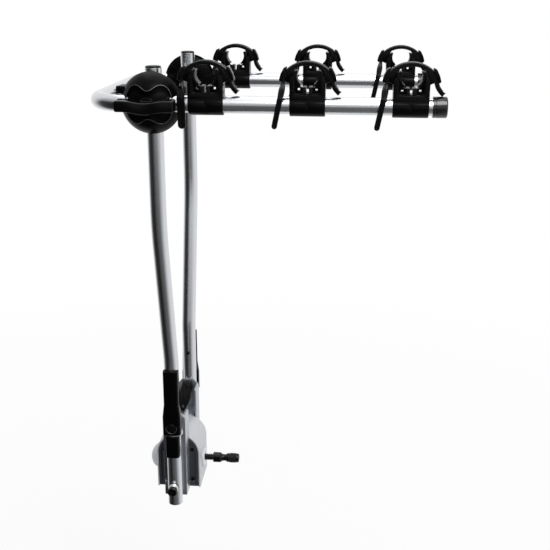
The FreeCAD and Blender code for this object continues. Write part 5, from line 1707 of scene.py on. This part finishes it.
@dataclass
class Coupling:
    """The housing on the ball with its plates, brackets and fastenings, and the webbing on the right.

    The tables list nodes whose edges are rounded: the node, the width in millimetres, the faces across the
    rounding and the finish, where it isn't the slot's own.
    """

    shop: Workshop
    single: tuple[tuple[str, float, int, str | None], ...] = (
        ("housing_shell", 0.9, 3, None), ("cross_beam", 1.2, 3, None), ("ball_jaw", 0.8, 2, None),
        ("spindle_bush", 0.5, 2, None), ("tie_bolts", 0.4, 2, None), ("spring_seats", 0.3, 2, "dark"),
        ("pivot_bolts", 0.9, 3, None), ("pivot_nuts", 0.5, 2, None), ("cover_screws", 0.3, 2, None),
        ("upright_plugs", 0.4, 2, "cover"),
    )
    paired: tuple[tuple[str, float, int, str | None], ...] = (
        ("bracket", 0.5, 2, "bracket"), ("end_plate", 0.4, 2, None), ("upper_cover", 0.9, 3, None),
        ("lower_cover", 0.9, 3, None),
    )
    saddle_edge: float = 0.4 * MM
    collar_low: float = 101.3 * MM
    collar_high: float = 105.7 * MM
    collar_bore: float = 14.1 * MM
    collar_radius: float = 18.2 * MM
    lip_face: float = 118.3 * MM
    lip_radius: float = 10.2 * MM
    lip_wire: float = 0.75 * MM
    lip_start: float = math.radians(-200)
    lip_turn: float = math.radians(220)
    lip_steps: int = 32
    rim_centre: tuple[float, float] = (33.0 * MM, 30.0 * MM)
    rim_radius: float = 35.5 * MM
    rim_foot: float = -43.0 * MM
    rim_y: float = 44.2 * MM
    rim_wire: float = 1.1 * MM
    rim_steps: int = 24
    washer: tuple[float, float] = (79.0 * MM, 80.3 * MM)
    washer_bore: float = 8.6 * MM
    washer_radius: float = 18.4 * MM
    leaf_top: tuple[float, float] = (33.5 * MM, 134 * MM)
    leaf_low: tuple[float, float] = (21 * MM, 66 * MM)
    leaf_half: float = 12.5 * MM
    leaf_face: float = 79.4 * MM
    leaf_thick: float = 2.9 * MM
    leaf_rise: float = 6.0 * MM
    leaf_widths: Outline = ((0.0, 0.72), (0.3, 0.95), (0.6, 0.95), (1.0, 0.35), (1.08, 0.05))
    leaf_waves: float = 7 * math.pi
    leaf_wave: float = 0.38
    leaf_length: float = 1.05
    leaf_steps: tuple[int, int] = (40, 22)
    leaf_square: int = 8
    leaf_thin: float = 0.35
    leaf_swell: int = 8
    leaf_tip: float = 1.06
    leaf_fall: tuple[float, float] = (0.85, 0.4)
    rivet_place: float = 0.14

    def build(self) -> None:
        """Dresses the coupling, the covers of the tubes and the latches."""
        shop = self.shop
        for node, width, segments, finish in self.single:
            shop.softened(node, width * MM, segments, finish)
        self.flange()
        Spindle().build(shop)
        self.leaf()
        for side in Side:
            self.collar(side)
            self.pivot_lip(side)
            self.rim(side)
            for part, width, segments, finish in self.paired:
                shop.softened(f"{side.word}_{part}", width * MM, segments, finish)
            self.saddle(side)
            Latch(side).build(shop)

    def saddle(self, side: Side) -> None:
        """The arm's saddle at its hub, turned over on the right like the catch beside it.

        Args:
            side: The side.
        """
        node = f"{side.word}_arm_saddle"
        mesh = rounded(self.shop.copied(node), self.saddle_edge)
        if side is Side.RIGHT:
            moved(mirrored(mesh, UP), (0, 0, 2 * HUB_Z))
        self.shop.add(f"{node}_skin", mesh, "arms", "cover", replaces=[node])

    def collar(self, side: Side) -> None:
        """The bright collar on the tube between its covers.

        Args:
            side: The side.
        """
        low, high, bore, wide = self.collar_low, self.collar_high, self.collar_bore, self.collar_radius
        ring = lathe([(low, bore), (low, wide - 0.6 * MM), (low + 0.7 * MM, wide), (high - 0.7 * MM, wide),
                      (high, wide - 0.6 * MM), (high, bore), (low, bore)])
        moved(ring, (HUB_X, side.value * LOWER_Y, 0), Matrix.Rotation(-RIGHT_ANGLE, 3, "Y"))
        self.shop.add(f"{side.word}_bright_collar", ring, "uprights", "zinc")

    def pivot_lip(self, side: Side) -> None:
        """The lip of the lower cover under the pivot's head, in the lighter glossy finish that paints the
        ring's highlight.

        Args:
            side: The side.
        """
        steps = self.lip_steps
        angles = [self.lip_start + self.lip_turn * step / steps for step in range(steps + 1)]
        ring = [(self.lip_radius * math.cos(a), self.lip_radius * math.sin(a)) for a in angles]
        lip = wire([spot(x, z, self.lip_face) for x, z in ring], self.lip_wire)
        if side is Side.LEFT:
            mirrored(lip, ACROSS)
        moved(lip, (HUB_X, 0, PIVOT_Z))
        self.shop.add(f"{side.word}_pivot_lip", lip, "uprights", "cover", "lit_gloss", sharp=80)

    def rim(self, side: Side) -> None:
        """The raised rim inside an end plate, an arch on two straight legs, in the lighter glossy finish that
        paints its highlight.

        Args:
            side: The side.
        """
        radius, (x, z) = self.rim_radius, self.rim_centre
        angles = [math.pi * (1 - step / self.rim_steps) for step in range(self.rim_steps + 1)]
        arch = [spot(x + radius * math.cos(a), z + radius * math.sin(a)) for a in angles]
        points = [spot(x - radius, self.rim_foot), *arch, spot(x + radius, self.rim_foot)]
        mesh = moved(wire(points, self.rim_wire), (0, side.value * self.rim_y, 0))
        self.shop.add(f"{side.word}_plate_rim", mesh, "coupling", "plate", "lit_gloss", sharp=80)

    def flange(self) -> None:
        """The washer between the housing's boss and the spindle, painted near white as the highlight on the
        boss's face.
        """
        face, back = self.washer
        bore, wide = self.washer_bore, self.washer_radius
        mesh = lathe([
            (face, bore), (face, wide), (face + 0.8 * MM, wide), (back, wide - 0.5 * MM), (back, bore),
            (face, bore),
        ])
        self.shop.add("spindle_washer", mesh, "coupling", "zinc", "washer")

    def leaf(self) -> None:
        """The leaf of webbing with its long ribs, and its rivet."""
        top, low = spot(*self.leaf_top), spot(*self.leaf_low)
        along = (low - top).normalized()
        across = spot(-along.z, along.x)
        steps, sides = self.leaf_steps
        shares = [1 - 2 * step / sides for step in range(sides + 1)]
        rings = []
        for index in range(steps + 1):
            part = self.leaf_length * index / steps
            half = self.leaf_half * between(part, self.leaf_widths)
            end = held(self.leaf_swell * min(part, self.leaf_tip - part) + self.leaf_thin)
            sunk = self.leaf_rise * eased(held((self.leaf_fall[0] - part) / self.leaf_fall[1]))
            faces = []
            for face in (1, -1):
                for share in shares:
                    rib = 1 - self.leaf_wave + self.leaf_wave * math.cos(share * self.leaf_waves)
                    edge = math.sqrt(max(0.0, 1 - share ** self.leaf_square))
                    lift = Vector(ACROSS) * (face * self.leaf_thick / 2 * rib * edge * end - sunk)
                    faces.append(top.lerp(low, part) + across * half * face * share + lift)
            rings.append(faces[:sides] + faces[sides + 1:-1])
        mesh = moved(swept(rings), (0, self.leaf_face - self.leaf_thick / 2, 0))
        self.shop.add("webbing_leaf", mesh, "coupling", "webbing", replaces=["webbing_strap"], sharp=60)
        self.rivet(low.lerp(top, self.rivet_place))

    def rivet(self, place: Vector) -> None:
        """The domed rivet that holds the webbing.

        Args:
            place: Its middle.
        """
        face = self.leaf_thick - self.leaf_face
        dome = lathe([
            (face + 0.6 * MM, 0.0), (face + 0.6 * MM, 3.0 * MM), (face - 0.2 * MM, 2.9 * MM),
            (face - 0.9 * MM, 2.1 * MM), (face - 1.3 * MM, 0.9 * MM), (face - 1.35 * MM, 0.0),
        ], 32)
        moved(dome, place, Matrix.Rotation(-RIGHT_ANGLE, 3, "Z"))
        self.shop.add("webbing_rivet", dome, "coupling", "zinc")


@dataclass
class Studio:
    """The floor, the lamps, the world and the camera.

    The screen's tables are in degrees: how far to the right of the viewer's direction, and how far up.
    """

    eye: tuple[float, float, float] = (0.3668, -1.7131, 0.9418)
    tilt: float = 72.45
    roll: float = 0.15
    pan: float = 4.76
    lens: float = 61.2
    sensor: float = 36.0
    lamps: tuple[tuple[str, tuple[float, float, float], float, float], ...] = (
        ("key", (1.6, -1.6, 2.6), 1.6, 22.0), ("top", (0.1, 0.6, 2.6), 1.8, 16.0),
    )
    aim: tuple[float, float, float] = (0.15, 0.0, 0.4)
    floor_z: float = -0.42
    floor_half: float = 6.0
    screen_middle: tuple[float, float, float] = (0.2, 0.0, 0.4)
    screen_reach: float = 2.5
    screen_drop: float = 0.79
    around: Outline = (
        (-132, 1.0), (-122, 0.9), (-92, 0.06), (-50, 0.005), (-20, 0.10), (20, 0.18), (45, 0.55), (84, 1.0),
    )
    shade: Outline = ((-132, 0.0), (-112, 0.0), (-85, 24.0), (-38, 24.0), (-8, 0.0), (84, 0.0))
    screen_span: tuple[int, int] = (-132, 84)
    screen_climb: int = 84
    screen_step: int = 4
    upwards: Outline = ((-84, 0.0), (-9, 0.0), (8, 0.45), (36, 1.0), (84, 1.0))
    softbox: tuple[float, float, float, float] = (25.0, 52.0, 30.0, 15.0)
    softbox_edge: float = 0.3
    softbox_power: float = 6.0

    def build(self) -> None:
        """Sets the studio up."""
        self.camera()
        self.world()
        self.floor()
        self.screen()
        for lamp in self.lamps:
            self.lamp(*lamp)

    def camera(self) -> None:
        """Puts the camera at the photograph's viewpoint."""
        data = bpy.data.cameras.new("camera")
        data.lens = self.lens
        data.sensor_width = self.sensor
        thing = linked("camera", data)
        thing.location = self.eye
        turn = Matrix.Identity(3)
        for degrees, axis in ((self.pan, "Z"), (self.tilt, "X"), (self.roll, "Z")):
            turn = turn @ Matrix.Rotation(math.radians(degrees), 3, axis)
        thing.rotation_euler = turn.to_euler()
        bpy.context.scene.camera = thing

    def lamp(self, name: str, place: Sequence[float], size: float, power: float) -> None:
        """Adds a soft square lamp aimed at the middle of the rack.

        Args:
            name: The lamp's name.
            place: Where it stands.
            size: The length of its sides.
            power: Its power in watts.
        """
        data = bpy.data.lights.new(name, "AREA")
        data.size = size
        data.energy = power
        thing = linked(name, data)
        thing.location = place
        thing.rotation_euler = (Vector(self.aim) - Vector(place)).to_track_quat("-Z", "Y").to_euler()

    def world(self) -> None:
        """White for the camera and in reflections; a soft even light from every side for the rest."""
        world = bpy.data.worlds.new("studio")
        bpy.context.scene.world = world
        world.use_nodes = True
        graph = Graph(world.node_tree)
        where = graph.node("ShaderNodeTexCoord")
        split = graph.node("ShaderNodeSeparateXYZ", None, [where.outputs["Generated"]])
        level = (graph.out(split, "Z") * 0.35 + graph.out(split, "X") * 0.15 + 0.55).clamped()
        colour = graph.mix(level, (0.05, 0.052, 0.06), (0.95, 0.95, 0.95))
        colour = graph.mix(self.seen(graph), colour, (1.0, 1.0, 1.0))
        back = graph.node("ShaderNodeBackground", None, {"Color": colour, "Strength": 1.0})
        graph.node("ShaderNodeOutputWorld", None, {"Surface": back.outputs[0]})

    @staticmethod
    def seen(graph: Graph) -> Value:
        """Tells what the camera sees from plain light.

        Args:
            graph: The graph that uses it.

        Returns:
            1 for what the camera sees, straight, in metal or through glass, and 0 for plain light.
        """
        path = graph.node("ShaderNodeLightPath")
        rays = (graph.out(path, f"Is {kind} Ray") for kind in ("Camera", "Glossy", "Transmission"))
        return sum(rays, Value(graph, 0.0)).clamped()

    def floor(self) -> None:
        """A pale floor that keeps a soft shadow near the rack and fades to white further out."""
        mesh = bpy.data.meshes.new("floor")
        corners = [Vector((x, y, 0)) * self.floor_half for x, y in ((-1, -1), (1, -1), (1, 1), (-1, 1))]
        mesh.from_pydata(corners, [], [(0, 1, 2, 3)])
        moved(mesh, (0, 0, self.floor_z))
        thing = linked("floor", mesh)
        material, graph = blank_material("pale_floor")
        length = graph.node("ShaderNodeVectorMath", {"operation": "LENGTH"}, [graph.place()])
        share = self.seen(graph) * (0.8 + ((graph.out(length, "Value") - 0.5) * 0.5).clamped() * 0.2)
        matt = graph.node("ShaderNodeBsdfDiffuse", None, {"Color": (0.85, 0.85, 0.86)})
        glow = graph.node("ShaderNodeEmission", None, {"Color": (1.0, 1.0, 1.0), "Strength": 1.0})
        both = graph.node("ShaderNodeMixShader", None, [share, matt.outputs[0], glow.outputs[0]])
        graph.node("ShaderNodeOutputMaterial", None, {"Surface": both.outputs[0]})
        mesh.materials.append(material)

    def glow(self, turn: float, climb: float) -> float:
        """How bright the screen is in a direction.

        Args:
            turn: Degrees to the right of the viewer.
            climb: Degrees up.

        Returns:
            The strength of its light.
        """
        level = between(turn, self.around)
        level += (1 - level) * between(climb - between(turn, self.shade), self.upwards)
        turn_middle, climb_middle, turn_half, climb_half = self.softbox
        patch = max(abs(turn - turn_middle) / turn_half, abs(climb - climb_middle) / climb_half)
        return level + self.softbox_power * held((1 + self.softbox_edge / 2 - patch) / self.softbox_edge)

    def screen(self) -> None:
        """A curved screen round the viewer, seen only in reflections: black on the left, grey in front."""
        form = bmesh.new()
        layer = form.verts.layers.float.new("level")
        pan = math.radians(self.pan)
        back = Vector((math.sin(pan), -math.cos(pan), 0.0))
        right = Vector((-back.y, back.x, 0.0))
        rows = []
        for climb in range(-self.screen_climb, self.screen_climb + 1, self.screen_step):
            rise = math.sin(math.radians(climb)) * (self.screen_drop if climb < 0 else self.screen_reach)
            reach = self.screen_reach * math.cos(math.radians(climb))
            row = []
            for turn in range(self.screen_span[0], self.screen_span[1] + 1, self.screen_step):
                flat = back * math.cos(math.radians(turn)) + right * math.sin(math.radians(turn))
                vert = form.verts.new(Vector(self.screen_middle) + flat * reach + Vector(UP) * rise)
                vert[layer] = self.glow(turn, climb)
                row.append(vert)
            rows.append(row)
        for one, two in zip(rows, rows[1:]):
            for index in range(len(one) - 1):
                form.faces.new((one[index], one[index + 1], two[index + 1], two[index]))
        thing = linked("screen", settled(form, "screen"))
        material, graph = blank_material("studio_screen")
        level = graph.out(graph.node("ShaderNodeAttribute", {"attribute_name": "level"}), "Fac")
        glow = graph.node("ShaderNodeEmission", None, {"Color": (1.0, 1.0, 1.0), "Strength": level})
        graph.node("ShaderNodeOutputMaterial", None, {"Surface": glow.outputs[0]})
        thing.data.materials.append(material)
        for kind in ("camera", "diffuse", "transmission", "shadow", "volume_scatter"):
            setattr(thing, f"visible_{kind}", False)


def main() -> None:
    """Dresses the frame, sub-assembly by sub-assembly."""
    logging.basicConfig(level=logging.INFO, format="%(name)s %(message)s")
    bpy.context.scene.view_settings.view_transform = "Standard"
    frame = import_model()
    shop = Workshop(frame)
    shop.dress_nodes()
    Studio().build()
    Arms(shop).build()
    Coupling(shop).build()


if __name__ == "__main__":
    main()
